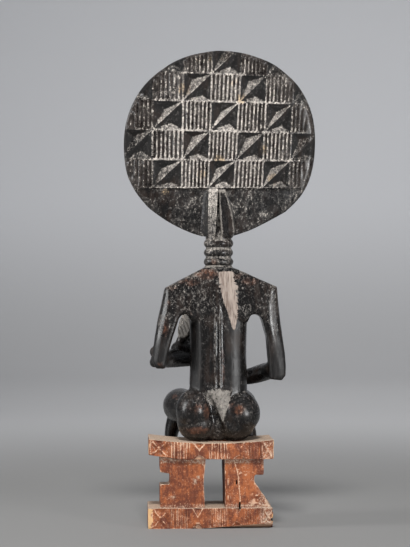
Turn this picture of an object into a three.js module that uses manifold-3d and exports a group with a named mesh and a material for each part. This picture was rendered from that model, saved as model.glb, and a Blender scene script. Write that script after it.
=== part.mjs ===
// Seated mother and child on a stool, carved from one block of wood.
// Millimetres, +Z up. The face looks along -Y, so +Y is the carved back and +X is her left side.
// The origin is under the middle of the stool.
import * as THREE from "three";
import { mergeVertices } from "three/addons/utils/BufferGeometryUtils.js";
import { ConvexGeometry } from "three/addons/geometries/ConvexGeometry.js";
import Module from "manifold-3d";

const wasm = await Module();
wasm.setup();

// Driving dimensions of the stool
const stool = {
  left: 62.5, right: -61.7, depth: 60, frameDepth: 52,
  baseHeight: 20.3, seatUnder: 67.3, seatTipUnder: 72.4,
  seatTopLeft: 88.5, seatTopRight: 87.5, seatDip: 80.2,
  blockLeft: 50.9, columnLeft: 41.1, holeLeft: 6.8,
  holeRight: -13, columnRight: -42.5, blockRight: -51.8,
  notchTop: 54.6, notchBottom: 43.6, brokenTop: 44.4,
};

// Bands carved along the stool's edges, from her left end: what each holds and how wide it is
const edgeBands = [
  ["cross", 16], ["hatch", 19.5], ["bow", 18], ["hatch", 20.5], ["bow", 15], ["hatch", 18], ["cross", 12],
];
const edgeMargin = 2.4;
const hatchPitch = 2.8;

// Driving dimensions of the body; the trunk stands a little to her right on the stool
const trunk = { x: -8, halfWidth: 29, front: -17, back: 16.5, bottom: 112, top: 232 };
const neck = { x: -8.1, radius: 14.8, valley: 13.4, bottom: 258.2, ringHeight: 9.1, rings: 3 };

// Driving dimensions of the disc head; its outline is an ellipse drawn in to the neck
const disc = {
  x: -9, y: 9.5, z: 381.6, lean: 5.5, roll: 1.8,
  halfWidth: 95.6, above: 90.3, below: 95, jawLow: -67,
  leftJaw: 70, leftNape: 23, rightJaw: 66, rightNape: 15,
  front: 6.2, back: 3.4, bulge: 6.4, rim: 3.6,
};
// The chequer's hand-cut lines: where each one crosses the disc's middle, and its slant in degrees
const columnLines = [[97, 1.5], [67.2, 1.8], [37.4, 1.1], [10.7, 0], [-16.3, -1.3], [-43.4, -0.6], [-70.3, -0.5], [-98, 0]];
const rowLines = [[96, 0], [67.6, 0.3], [40.3, -0.5], [11.2, -0.6], [-17.4, -1.3], [-45.3, -1.8], [-72, 0], [-102, 0]];
const carvedRows = 5;
const groovesPerCell = 7;
const grooveDepth = 1.3;
const pitDepth = 3.4;
const ridgeWidth = 1.5;

const degrees = THREE.MathUtils.degToRad;
const point = (x, y, z) => new THREE.Vector3(x, y, z);

// A closed geometry as a solid, with its shared vertices merged and empty triangles dropped
function solidOf(geometry) {
  const bare = geometry.clone();
  bare.deleteAttribute("normal");
  bare.deleteAttribute("uv");
  const merged = mergeVertices(bare, 1e-3);
  const corners = merged.index.array;
  const kept = [];
  for (let i = 0; i < corners.length; i += 3) {
    const [a, b, c] = [corners[i], corners[i + 1], corners[i + 2]];
    if (a !== b && b !== c && c !== a) kept.push(a, b, c);
  }
  return new wasm.Manifold(new wasm.Mesh({
    numProp: 3,
    vertProperties: new Float32Array(merged.attributes.position.array),
    triVerts: new Uint32Array(kept),
  }));
}

const joined = (solids) => solids.reduce((all, next) => all.add(next));

function geometryOf(solid) {
  const mesh = solid.getMesh();
  const geometry = new THREE.BufferGeometry();
  geometry.setAttribute("position", new THREE.BufferAttribute(mesh.vertProperties, 3));
  geometry.setIndex(new THREE.BufferAttribute(mesh.triVerts, 1));
  return geometry;
}

// An outline in the XZ plane, given depth along Y about y = middle
function slab(shape, depth, middle = 0, bevel = 0, curveSegments = 6) {
  const geometry = new THREE.ExtrudeGeometry(shape, {
    depth: depth - 2 * bevel, curveSegments,
    bevelEnabled: bevel > 0, bevelThickness: bevel, bevelSize: bevel, bevelOffset: -bevel, bevelSegments: 1,
  });
  geometry.translate(0, 0, bevel - depth / 2);
  geometry.rotateX(Math.PI / 2);
  geometry.translate(0, middle, 0);
  return solidOf(geometry);
}

const outline = (corners) => new THREE.Shape(corners.map(([x, y]) => new THREE.Vector2(x, y)));

function ball(centre, radii, sides = 14, rings = 8) {
  const geometry = new THREE.SphereGeometry(1, sides, rings);
  geometry.rotateX(Math.PI / 2);
  geometry.scale(...radii);
  geometry.translate(...centre);
  return geometry;
}

// A limb through stations [x, y, z, half width, half depth], round in section, blunt at both ends.
// "across" is the direction that the half width is measured in.
function limb(stations, sides = 10, steps = 6, across = point(1, 0, 0), blunt = 0.45) {
  const path = new THREE.CatmullRomCurve3(stations.map(([x, y, z]) => point(x, y, z)));
  const girth = new THREE.SplineCurve(stations.map(([, , , wide, deep]) => new THREE.Vector2(wide, deep)));
  const geometry = new THREE.CylinderGeometry(1, 1, 1, sides, steps + 2);
  const places = geometry.attributes.position;
  for (let i = 0; i < places.count; i++) {
    const ring = Math.round((places.getY(i) + 0.5) * (steps + 2));
    const isEnd = ring === 0 || ring === steps + 2;
    const t = THREE.MathUtils.clamp((ring - 1) / steps, 0, 1);
    const along = path.getTangent(t);
    const deepway = new THREE.Vector3().crossVectors(along, across).normalize();
    const sideway = new THREE.Vector3().crossVectors(deepway, along).normalize();
    const size = girth.getPoint(t);
    const shrink = isEnd ? blunt : 1;
    const place = path.getPoint(t);
    if (isEnd) place.addScaledVector(along, (ring === 0 ? -1 : 1) * Math.min(size.x, size.y) * 0.7);
    place.addScaledVector(sideway, places.getZ(i) * size.x * shrink);
    place.addScaledVector(deepway, places.getX(i) * size.y * shrink);
    places.setXYZ(i, place.x, place.y, place.z);
  }
  return geometry;
}

// A cut or a swelling with flat sides: the hull of a few points
const facets = (points) => solidOf(new ConvexGeometry(points.map((p) => point(...p))));

// The tool for a knife-cut chip: a pyramid on its tip, whose rim passes through the given corners
function chip(corners, deepest, rise = 1.35) {
  const tip = point(...deepest);
  const rim = corners.map((corner) => point(...corner).sub(tip).multiplyScalar(rise).add(tip));
  return solidOf(new ConvexGeometry([tip, ...rim]));
}

// The stool: a dished seat and a base, held apart by a stepped frame with a hole through it
function stoolSolid() {
  const s = stool;
  const seatShape = new THREE.Shape();
  seatShape.moveTo(s.left, s.seatTipUnder);
  seatShape.lineTo(s.left, s.seatTopLeft);
  seatShape.quadraticCurveTo(-2, s.seatDip, s.right, s.seatTopRight);
  seatShape.lineTo(s.right, s.seatUnder + 0.8);
  seatShape.lineTo(-8, s.seatUnder - 0.6);
  seatShape.lineTo(33, s.seatUnder + 1);
  seatShape.closePath();
  const frameShape = outline([
    [s.blockLeft, s.seatTipUnder], [s.blockLeft, s.notchTop], [s.columnLeft, s.notchTop],
    [s.columnLeft, s.notchBottom], [s.blockLeft, s.notchBottom], [s.blockLeft, s.baseHeight - 2],
    [s.right + 1, s.baseHeight - 2], [s.right + 1.5, s.baseHeight + 2], [s.blockRight - 2.5, 28],
    [s.blockRight + 1.5, 35.2], [s.columnRight - 1, s.brokenTop], [s.columnRight, s.brokenTop + 1],
    [s.columnRight, s.notchTop - 2.7], [s.blockRight, s.notchTop - 2.7], [s.blockRight, s.seatTipUnder - 3],
  ]);
  const holeShape = outline([
    [s.holeLeft - 1, 12], [s.holeLeft + 0.8, 44], [s.holeLeft - 1.6, 75],
    [s.holeRight + 0.6, 75], [s.holeRight, 44], [s.holeRight - 0.5, 12],
  ]);
  const baseShape = outline([
    [s.left + 0.6, 0], [s.left + 0.6, s.baseHeight - 1.5], [s.left - 1, s.baseHeight + 0.6],
    [s.right + 1, s.baseHeight], [s.right, s.baseHeight - 1.5], [s.right, 0],
  ]);
  const wornCorner = facets([
    [12, 34, -1], [12, 34, 0.2], [12, 27, -1], [s.right - 3, 34, -1], [s.right - 3, 34, 6.2], [s.right - 3, 22, -1],
  ]);
  const seat = slab(seatShape, s.depth);
  const frame = slab(frameShape, s.frameDepth).subtract(slab(holeShape, s.depth));
  const base = slab(baseShape, s.depth).subtract(wornCorner);
  return joined([seat, frame, base]).subtract(joined([
    ...edgeCuts((x) => seatUnderAt(x), (x) => seatTopAt(x)),
    ...edgeCuts(() => 1, () => s.baseHeight - 1.5),
  ]));
}

const seatUnderAt = (x) => (x > 33 ? stool.seatUnder + 1 + (x - 33) * 0.145 : stool.seatUnder + 0.6);
function seatTopAt(x) {
  const t = (stool.left - x) / (stool.left - stool.right);
  const { seatTopLeft: a, seatDip: b, seatTopRight: c } = stool;
  return a * (1 - t) ** 2 + 2 * b * t * (1 - t) + c * t ** 2;
}

// Cuts in one long edge of the stool, alike on its back and front, between two heights
function edgeCuts(lowAt, highAt) {
  const cuts = [];
  for (const side of [1, -1]) {
    const face = (side * stool.depth) / 2;
    const inside = (depth) => face - side * depth;
    const onFace = (x, z) => [x, face, z];
    let start = stool.left - edgeMargin;
    for (const [motif, width] of edgeBands) {
      const middle = start - width / 2;
      const half = width / 2 - 0.9;
      const low = lowAt(middle) + 1.6;
      const high = highAt(middle) - 1.6;
      const centre = (low + high) / 2;
      if (motif === "hatch") {
        const count = Math.floor((width - 1) / hatchPitch);
        for (let i = 0; i < count; i++) {
          const x = middle + (i - (count - 1) / 2) * hatchPitch;
          cuts.push(groove([x, face, low + 0.6], [x, face, high - 0.6], 1.4, 0.8, [0, side, 0]));
        }
      } else if (motif === "cross") {
        const tip = 0.8;
        cuts.push(
          chip([onFace(middle - half + 1.2, high), onFace(middle + half - 1.2, high), onFace(middle, centre + tip)],
            [middle, inside(1.4), centre + (high - centre) * 0.62]),
          chip([onFace(middle - half + 1.2, low), onFace(middle + half - 1.2, low), onFace(middle, centre - tip)],
            [middle, inside(1.4), centre + (low - centre) * 0.62]),
          chip([onFace(middle - half, high - 1.2), onFace(middle - half, low + 1.2), onFace(middle - tip, centre)],
            [middle - half * 0.62, inside(1.4), centre]),
          chip([onFace(middle + half, high - 1.2), onFace(middle + half, low + 1.2), onFace(middle + tip, centre)],
            [middle + half * 0.62, inside(1.4), centre]),
        );
      } else {
        const reach = (high - low) * 0.4;
        cuts.push(
          chip([onFace(middle - 3.6, high), onFace(middle + 3.6, high), onFace(middle, high - reach)],
            [middle, inside(1.6), high - reach * 0.4]),
          chip([onFace(middle - 4.4, low), onFace(middle + 4.4, low), onFace(middle, low + reach)],
            [middle, inside(1.6), low + reach * 0.4]),
        );
      }
      start -= width;
    }
  }
  return cuts;
}

// The tool for a V groove between two points of a surface whose outward direction is given
function groove(from, to, width, depth, outward, rise = 0.8) {
  const [a, b, out] = [point(...from), point(...to), point(...outward)];
  const along = b.clone().sub(a).normalize();
  const across = new THREE.Vector3().crossVectors(along, out).normalize();
  const wide = (width / 2) * (1 + rise / depth);
  const taper = depth * 0.9;
  const points = [];
  for (const [end, sign] of [[a, 1], [b, -1]]) {
    points.push(end.clone().addScaledVector(along, sign * taper).addScaledVector(out, -depth));
    const high = end.clone().addScaledVector(along, -sign * taper * (rise / depth)).addScaledVector(out, rise);
    points.push(high.clone().addScaledVector(across, wide), high.clone().addScaledVector(across, -wide));
  }
  return solidOf(new ConvexGeometry(points));
}

// The disc in its own frame: x to her left, y up, z out of the face, so the carved back is at -z
const backAt = (x, y) => disc.back + disc.bulge * (1 - (x * x + y * y) / (disc.halfWidth * disc.halfWidth));

// Where a column line and a row line of the chequer cross
function crossing(column, row) {
  const [atX, slantX] = columnLines[column];
  const [atY, slantY] = rowLines[row];
  const [runX, runY] = [Math.tan(degrees(slantX)), Math.tan(degrees(slantY))];
  const y = (atY + runY * atX) / (1 - runX * runY);
  return [atX + runX * y, y];
}

function discOutline() {
  const d = disc;
  const shape = new THREE.Shape();
  shape.moveTo(d.halfWidth, 0);
  shape.absellipse(0, 0, d.halfWidth, d.above, 0, Math.PI / 2, false);
  shape.absellipse(0, 0, d.halfWidth, d.above, Math.PI / 2, Math.PI, false);
  const cheekHigh = d.jawLow + 21;
  shape.bezierCurveTo(-d.halfWidth, d.jawLow / 2, -d.rightJaw - 20, cheekHigh, -d.rightJaw, d.jawLow);
  shape.quadraticCurveTo(-d.rightNape - 24, -d.below + 11, -d.rightNape, -d.below - 1);
  shape.lineTo(d.leftNape, -d.below - 1);
  shape.quadraticCurveTo(d.leftNape + 24, -d.below + 10, d.leftJaw, d.jawLow);
  shape.bezierCurveTo(d.leftJaw + 18, cheekHigh, d.halfWidth, d.jawLow / 2, d.halfWidth, 0);
  return shape;
}

function discBody() {
  const d = disc;
  const thick = d.front + d.back + d.bulge;
  const round = new THREE.ExtrudeGeometry(discOutline(), {
    depth: thick - 2 * d.rim, curveSegments: 8,
    bevelEnabled: true, bevelThickness: d.rim, bevelSize: d.rim, bevelOffset: -d.rim, bevelSegments: 1,
  });
  round.translate(0, 0, d.rim - d.back - d.bulge);
  // The domed back: a block whose rear face follows the bulge
  const [columns, rows] = [columnLines.length - 1, rowLines.length - 1];
  const dome = new THREE.BoxGeometry(columns, rows, 2, columns, rows, 1);
  const places = dome.attributes.position;
  for (let i = 0; i < places.count; i++) {
    const [column, row] = [columns / 2 - places.getX(i), rows / 2 - places.getY(i)].map(Math.round);
    const [x, y] = crossing(column, row);
    places.setXYZ(i, x, y, places.getZ(i) > 0 ? d.front + 2 : -backAt(x, y));
  }
  return solidOf(round).intersect(solidOf(dome));
}

// The disc's back is a chequer of grooved cells and cells with two deep chips each
function discCuts() {
  const cuts = [];
  const onBack = (x, y) => [x, y, -backAt(x, y)];
  const under = (x, y, depth) => [x, y, depth - backAt(x, y)];
  for (let row = 0; row < carvedRows; row++) {
    for (let column = 0; column < columnLines.length - 1; column++) {
      const [[leftX, topY], [rightX, lowY]] = [crossing(column, row), crossing(column + 1, row + 1)];
      if (Math.hypot((leftX + rightX) / 2, (topY + lowY) / 2) > disc.halfWidth + 2) continue;
      const inset = ridgeWidth / 2 / Math.abs(rightX - leftX);
      // A place in the cell: 0 to 1 from her left to her right, and from the bottom up
      const cell = (across, up) => {
        const [u, v] = [across, up].map((share) => inset + share * (1 - 2 * inset));
        const corners = [[column, row + 1], [column + 1, row + 1], [column, row], [column + 1, row]];
        const weights = [(1 - u) * (1 - v), u * (1 - v), (1 - u) * v, u * v];
        return [0, 1].map((axis) => corners.reduce((sum, c, i) => sum + weights[i] * crossing(...c)[axis], 0));
      };
      if ((row + column) % 2 === 1) {
        const nick = 2 * inset;
        cuts.push(
          chip([onBack(...cell(0, nick)), onBack(...cell(1 - nick, 1)), onBack(...cell(0, 1))],
            under(...cell(0.33, 0.7), pitDepth)),
          chip([onBack(...cell(nick, 0)), onBack(...cell(1, 1 - nick)), onBack(...cell(1, 0))],
            under(...cell(0.65, 0.23), pitDepth)),
        );
      } else {
        for (let i = 0; i < groovesPerCell; i++) {
          const across = (i + 0.5) / groovesPerCell;
          cuts.push(groove(onBack(...cell(across, 0)), onBack(...cell(across, 1)), 2.3, grooveDepth, [0, 0, -1]));
        }
      }
    }
  }
  return cuts;
}

// The nape: a faceted half cone that carries the neck up the back of the disc
function nape() {
  const rows = [[-43, 8, 1], [-50, 11.5, 4.6], [-91, 19.5, 10], [-94.5, 17, 8.5]];
  const points = [];
  for (const [y, half, proud] of rows) {
    for (const [across, out] of [[-1, 0.1], [-0.6, 0.75], [-0.14, 1], [0.3, 0.97], [0.7, 0.6], [1, 0.1]]) {
      points.push([across * half, y, -backAt(0, y) - out * proud]);
    }
    points.push([-half, y, 0], [half, y, 0]);
  }
  return facets(points);
}

// The face, in the lower third of the disc: joined brows, a long nose, narrow eyes, a small mouth
function face() {
  const skin = disc.front;
  const brow = (side) => limb([
    [side * 2.5, -32, skin, 2, 2.4], [side * 12, -22.5, skin, 2.2, 2.6],
    [side * 26, -20, skin, 2.1, 2.4], [side * 39, -27, skin, 1.6, 1.8],
  ], 6, 6, point(0, 0, 1));
  const eye = (side) => ball([side * 19, -35, skin], [9.5, 4, 3.2], 12, 6);
  const slit = (side) => groove([side * 11.5, -35, skin + 2.4], [side * 26.5, -35, skin + 2.4], 1.6, 1.5, [0, 0, 1]);
  const nose = facets([
    [-2.2, -28, skin - 2], [2.2, -28, skin - 2], [0, -30, skin + 2.6],
    [-6.5, -59, skin - 2], [6.5, -59, skin - 2], [-3.2, -58, skin + 6], [3.2, -58, skin + 6], [0, -61, skin - 1],
  ]);
  const lips = ball([0, -69, skin], [8.5, 3.4, 3.6], 12, 6);
  const mouth = groove([-7, -69, skin + 3], [7, -69, skin + 3], 1.5, 1.5, [0, 0, 1]);
  const features = [...[1, -1].map(brow), ...[1, -1].map(eye), lips].map(solidOf);
  return { features: joined([...features, nose]), cuts: joined([slit(1), slit(-1), mouth]) };
}

function headSolid() {
  const { features, cuts } = face();
  const carved = discBody().subtract(joined(discCuts())).add(nape()).add(features).subtract(cuts);
  const geometry = geometryOf(carved);
  geometry.rotateZ(degrees(disc.roll));
  geometry.rotateX(Math.PI / 2 - degrees(disc.lean));
  geometry.translate(disc.x, disc.y, disc.z);
  return solidOf(geometry);
}

// The neck is three stacked rings on a low collar
function neckSolid() {
  const n = neck;
  const profile = [[0, n.bottom - 12], [15.6, n.bottom - 12], [14.2, n.bottom - 0.6]];
  for (let ring = 0; ring < n.rings; ring++) {
    const floor = n.bottom + ring * n.ringHeight;
    profile.push([n.valley, floor], [n.radius, floor + 0.26 * n.ringHeight], [n.radius, floor + 0.74 * n.ringHeight]);
  }
  const top = n.bottom + n.rings * n.ringHeight;
  profile.push([n.valley, top], [n.valley - 1, top + 9], [0, top + 9]);
  const geometry = new THREE.LatheGeometry(profile.map(([r, z]) => new THREE.Vector2(r, z)), 16);
  geometry.rotateX(Math.PI / 2);
  geometry.translate(n.x, 0, 0);
  return solidOf(geometry);
}

// The trunk: square shouldered, flat behind, with a raised spine
function trunkSolid() {
  const t = trunk;
  const middle = (t.front + t.back) / 2;
  const halfDepth = (t.back - t.front) / 2;
  const squareness = 2 / 3.2;
  const body = new THREE.CylinderGeometry(1, 1, 1, 20, 2);
  const places = body.attributes.position;
  for (let i = 0; i < places.count; i++) {
    const share = places.getY(i) + 0.5;
    const [c, s] = [places.getX(i), places.getZ(i)];
    const bow = 1 + 0.02 * Math.cos(2 * Math.PI * share);
    places.setXYZ(i,
      t.x + t.halfWidth * bow * Math.sign(c) * Math.abs(c) ** squareness,
      middle - halfDepth * Math.sign(s) * Math.abs(s) ** squareness,
      t.bottom + (t.top - t.bottom) * share);
  }
  const spine = facets([
    [t.x - 4.6, t.back - 2, 130], [t.x + 4.6, t.back - 2, 130], [t.x - 2.6, t.back + 1.8, 132], [t.x + 2.6, t.back + 1.8, 132],
    [t.x - 4.6, t.back - 2, 229], [t.x + 4.6, t.back - 2, 229], [t.x - 2.6, t.back + 2, 224], [t.x + 2.6, t.back + 2, 224],
  ]);
  const belly = solidOf(ball([t.x, -11, 160], [24, 14, 26], 12, 6));
  const breast = (side) => solidOf(limb([
    [t.x + side * 14, -8, 222, 12, 12], [t.x + side * 15, -22, 217, 9.5, 9.5], [t.x + side * 16, -35, 211, 4, 4],
  ], 10, 2));
  return joined([solidOf(body), yokeSolid(), spine, belly, breast(1), breast(-1)]);
}

// The shoulders and upper arms are one flat-backed yoke, with the arms standing clear of the trunk
function yokeSolid() {
  const { x } = trunk;
  const yoke = new THREE.Shape();
  yoke.moveTo(x + 15.4, 256.5);
  yoke.lineTo(x + 53.9, 236.5);
  yoke.lineTo(x + 61, 204.5);
  yoke.quadraticCurveTo(x + 65, 182, x + 66, 163);
  yoke.lineTo(x + 62.4, 156.5);
  yoke.lineTo(x + 53.4, 156.5);
  yoke.lineTo(x + 50.6, 172);
  yoke.lineTo(x + 40, 206);
  yoke.quadraticCurveTo(x + 37, 211.5, x + 32, 210.6);
  yoke.lineTo(x + 27.4, 203);
  yoke.lineTo(x - 28.4, 202);
  yoke.lineTo(x - 31.6, 209.5);
  yoke.quadraticCurveTo(x - 39, 212.5, x - 42.8, 205.2);
  yoke.lineTo(x - 47.6, 188);
  yoke.lineTo(x - 49.8, 166.5);
  yoke.lineTo(x - 51, 146);
  yoke.lineTo(x - 62.6, 144.6);
  yoke.lineTo(x - 66.6, 149.5);
  yoke.lineTo(x - 66, 172);
  yoke.lineTo(x - 61.8, 201.5);
  yoke.lineTo(x - 57.7, 237.8);
  yoke.lineTo(x - 15.6, 256.5);
  return slab(yoke, 30, 1.8, 5, 3);
}

// The forearms: her left one carries the child, her right one reaches down to the child's legs
function armsSolid() {
  const up = point(0, 0, 1);
  const parts = [
    limb([[49.6, -4, 165.5, 7, 9], [43, -22, 165, 9.4, 9.4], [27, -40, 164.5, 9, 9], [6, -50, 164, 7, 6.5]], 10, 4, up),
    limb([[-64, -4, 154, 7, 9], [-57, -22, 150, 9, 9.2], [-42, -38, 146, 8.4, 8.6], [-24, -52, 143, 6.5, 7]], 10, 4, up),
    ball([56.6, -4, 172.6], [4, 6, 5], 8, 5),
    ball([56.6, -5, 162], [4.2, 6, 5], 8, 5),
  ].map(solidOf);
  for (let finger = 0; finger < 4; finger++) {
    parts.push(
      fingerFrom([9, -54, 168.6 - finger * 3.5], [-7, -60, 168.6 - finger * 3.5]),
      fingerFrom([-28, -55, 147.6 - finger * 3.4], [-12, -61.5, 145.6 - finger * 3.4]),
    );
  }
  return joined(parts);
}

function fingerFrom([x, y, z], [tipX, tipY, tipZ]) {
  const [high, out] = [1.6, 2.6];
  return facets([
    [x, y + out, z + high], [x, y + out, z - high], [x, y - out, z + high * 0.7], [x, y - out, z - high * 0.7],
    [tipX, tipY + out, tipZ + high], [tipX, tipY + out, tipZ - high], [tipX, tipY, tipZ + high * 0.6],
    [tipX, tipY, tipZ - high * 0.6],
  ]);
}

// Hips, thighs, calves and feet; her left knee is turned out a little more than her right
function legsSolid() {
  const seat = [
    ball([16.8, 5, 115], [17.6, 22, 22.2]),
    ball([-30.2, 5, 112.3], [19.4, 22, 21.4]),
    ball([-7, -3, 104], [33, 18, 22], 12, 6),
  ];
  const legs = [[1, 29, 38], [-1, -32, -43.5]].flatMap(([side, kneeX, calfX]) => {
    const footX = kneeX - side * 4;
    return [
      limb([[side * 12 - 7, 0, 112, 17, 17], [kneeX - side * 5, -24, 115, 17.4, 17.5], [kneeX, -44, 116, 17.6, 17.6],
        [kneeX, -57, 115, 13.5, 13.5], [kneeX, -61, 114.5, 9, 9]], 12, 6),
      limb([[kneeX + side * 3, -52, 106, 9.5, 9.5], [calfX, -55, 84, 6.8, 8.5], [calfX - side * 3, -51, 52, 5.6, 6.5],
        [footX + side * 2, -46, 20, 5, 5.6], [footX, -43, 9, 5.6, 7]], 8, 5),
      limb([[footX, -32, 6.2, 6.5, 6.2], [footX, -50, 6, 7.2, 6], [footX, -66, 4.6, 7, 4.6]], 8, 3),
    ];
  });
  const solids = [...seat, ...legs].map(solidOf);
  const underground = slab(outline([[80, 0], [80, -30], [-80, -30], [-80, 0]]), 220);
  return joined(solids).subtract(underground);
}

// The child lies across her lap, its small disc head raised in the crook of her left arm
function childSolid() {
  const head = new THREE.CylinderGeometry(1, 1, 7, 16, 1);
  head.rotateX(Math.PI / 2);
  head.scale(10.5, 16.5, 1);
  const cuts = [];
  for (let i = -1; i <= 1; i++) {
    cuts.push(groove([-8 - i * 2.2, -7 + i * 5, -3.5], [8 - i * 2.2, 7 + i * 5, -3.5], 2.2, 1.1, [0, 0, -1]));
  }
  const geometry = geometryOf(solidOf(head).subtract(joined(cuts)));
  geometry.rotateY(degrees(-50));
  geometry.rotateZ(degrees(18));
  geometry.rotateX(Math.PI / 2);
  geometry.translate(21.5, -42, 199);
  const body = [
    limb([[26.6, -42, 185, 5.4, 5.4], [28.5, -43, 178, 6, 6]], 8, 1),
    limb([[32, -40, 172.5, 9, 9], [16, -49, 171, 9.4, 9.4], [-2, -54, 166, 8.4, 8.4]], 10, 3, point(0, 0, 1)),
    limb([[-2, -52, 168, 5.6, 5.6], [-14, -54, 170, 5, 5], [-23, -53, 163, 4.4, 4.4]], 8, 2, point(0, 0, 1)),
    limb([[-23, -53, 164, 4.6, 4.6], [-29, -53, 152, 3.8, 3.8], [-33, -54, 140, 3.6, 3.6]], 8, 2),
    limb([[-2, -58, 162, 5.2, 5.2], [-12, -63, 160, 4.8, 4.8], [-20, -62, 152, 4.2, 4.2], [-22, -60, 138, 3.6, 3.6]], 8, 4,
      point(0, 0, 1)),
    limb([[24, -51, 180, 3.4, 3.4], [12, -50, 186, 3, 3], [4, -40, 196, 2.6, 2.6]], 6, 2, point(0, 0, 1)),
  ].map(solidOf);
  return joined([solidOf(geometry), ...body]);
}

const darkWood = new THREE.MeshStandardMaterial({ color: 0x2a211d, roughness: 0.42, metalness: 0 });

const figure = joined([headSolid(), neckSolid(), trunkSolid(), armsSolid(), legsSolid(), childSolid(), stoolSolid()]);
const carving = new THREE.Mesh(geometryOf(figure), darkWood);
carving.name = "maternity_figure";

const group = new THREE.Group();
group.add(carving);

export default group;
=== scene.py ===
import math

import bmesh
import bpy
import numpy as np
from mathutils import Matrix, Vector


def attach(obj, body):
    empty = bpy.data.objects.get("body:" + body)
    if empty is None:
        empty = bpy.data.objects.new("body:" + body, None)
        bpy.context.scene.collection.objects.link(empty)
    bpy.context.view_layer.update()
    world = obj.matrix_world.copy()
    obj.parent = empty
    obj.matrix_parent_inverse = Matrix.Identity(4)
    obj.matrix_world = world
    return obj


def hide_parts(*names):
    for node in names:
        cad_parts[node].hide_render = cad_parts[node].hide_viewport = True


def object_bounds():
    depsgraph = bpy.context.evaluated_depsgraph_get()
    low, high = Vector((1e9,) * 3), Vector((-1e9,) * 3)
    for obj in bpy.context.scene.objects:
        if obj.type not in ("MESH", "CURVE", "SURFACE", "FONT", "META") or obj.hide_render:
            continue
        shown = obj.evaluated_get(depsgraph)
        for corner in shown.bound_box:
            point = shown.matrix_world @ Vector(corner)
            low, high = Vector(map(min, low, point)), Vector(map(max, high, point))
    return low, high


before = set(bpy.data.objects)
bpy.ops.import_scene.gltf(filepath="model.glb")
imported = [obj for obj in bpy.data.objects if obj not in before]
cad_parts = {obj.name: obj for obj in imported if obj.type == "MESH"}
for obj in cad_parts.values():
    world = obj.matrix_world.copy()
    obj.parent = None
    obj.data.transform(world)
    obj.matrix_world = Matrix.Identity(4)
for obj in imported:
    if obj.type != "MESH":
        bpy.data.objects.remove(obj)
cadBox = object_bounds()

# Seated mother and child on a stool, carved from one block. Shapes are worked out in millimetres
# and brought to metres at the end. +X is her left, and +Y is the carved back that the camera sees.
millimetre = 0.001


# Numbers that several pieces share
def smooth(low, high, value):
    share = np.clip((value - low) / (high - low), 0, 1)
    return share * share * (3 - 2 * share)


headLow = 284   # nothing but the disc head reaches above this height


def within(value, start, full, fading, end):
    # 1 from full to fading, and 0 before start and after end
    return smooth(start, full, value) * smooth(end, fading, value)


def spins(count):
    return np.linspace(0, 2 * math.pi, count, endpoint=False)


def grain(points, size, seed=0):
    # Even noise from -1 to 1, with a swelling about every "size" millimetres
    places = np.asarray(points, float) / size + seed * 17.13
    cell = np.floor(places).astype(np.int64)
    inside = places - cell
    inside = inside * inside * (3 - 2 * inside)
    total = 0
    for corner in range(8):
        step = np.array([corner & 1, corner >> 1 & 1, corner >> 2 & 1])
        mixed = (cell + step) @ np.array([73856093, 19349663, 83492791])
        mixed = (mixed ^ (mixed >> 13)) * 1274126177
        value = ((mixed ^ (mixed >> 16)) & 0xFFFF) / 32767.5 - 1
        total = total + np.prod(np.where(step, inside, 1 - inside), axis=1) * value
    return total


# Plain mesh work
def meshOf(points, faces):
    mesh = bpy.data.meshes.new("shape")
    mesh.from_pydata([tuple(map(float, p)) for p in points], [], [tuple(map(int, f)) for f in faces])
    return facedOut(mesh)


def facedOut(mesh):
    work = bmesh.new()
    work.from_mesh(mesh)
    bmesh.ops.remove_doubles(work, verts=work.verts, dist=1e-4)
    bmesh.ops.recalc_face_normals(work, faces=work.faces)
    work.to_mesh(mesh)
    work.free()
    return mesh


def cleaned(mesh, near=0.015, sliver=0.01, widestHole=8):
    # Triangles only, without slivers
    work = bmesh.new()
    work.from_mesh(mesh)
    bmesh.ops.remove_doubles(work, verts=work.verts, dist=near)
    bmesh.ops.dissolve_degenerate(work, edges=work.edges, dist=near)
    bmesh.ops.triangulate(work, faces=work.faces)
    bmesh.ops.remove_doubles(work, verts=work.verts, dist=near)
    if not all(edge.is_manifold for edge in work.edges):
        crowded = [edge for edge in work.edges if len(edge.link_faces) > 2]
        spare = {face for edge in crowded for face in edge.link_faces if face.calc_area() < sliver}
        bmesh.ops.delete(work, geom=list(spare), context="FACES")
        rims = [edge for edge in work.edges if edge.is_boundary]
        bmesh.ops.holes_fill(work, edges=rims, sides=widestHole)
        bmesh.ops.triangulate(work, faces=work.faces)
    bmesh.ops.recalc_face_normals(work, faces=work.faces)
    work.to_mesh(mesh)
    work.free()
    return mesh


def piled(meshes):
    # Several meshes as one, without joining what touches
    points, faces = [], []
    for mesh in meshes:
        first = len(points)
        points += [v.co[:] for v in mesh.vertices]
        faces += [[first + i for i in face.vertices] for face in mesh.polygons]
    whole = bpy.data.meshes.new("pile")
    whole.from_pydata(points, [], faces)
    return whole


def placed(name, data):
    holder = bpy.data.objects.new(name, data)
    bpy.context.scene.collection.objects.link(holder)
    return holder


def settled(holder):
    # The plain mesh that an object's modifiers make; the object goes
    view = bpy.context.evaluated_depsgraph_get()
    result = bpy.data.meshes.new_from_object(holder.evaluated_get(view))
    bpy.data.objects.remove(holder)
    return result


def worked(mesh, *steps):
    # The mesh after these modifiers: each a kind and its settings
    holder = placed("holder", mesh)
    for kind, settings in steps:
        modifier = holder.modifiers.new(kind.lower(), kind)
        for key, value in settings.items():
            setattr(modifier, key, value)
    return settled(holder)


def combined(mesh, other, how):
    tool = placed("tool", other)
    result = worked(mesh, ("BOOLEAN", {"operation": how, "solver": "MANIFOLD", "object": tool}))
    bpy.data.objects.remove(tool)
    return result


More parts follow.
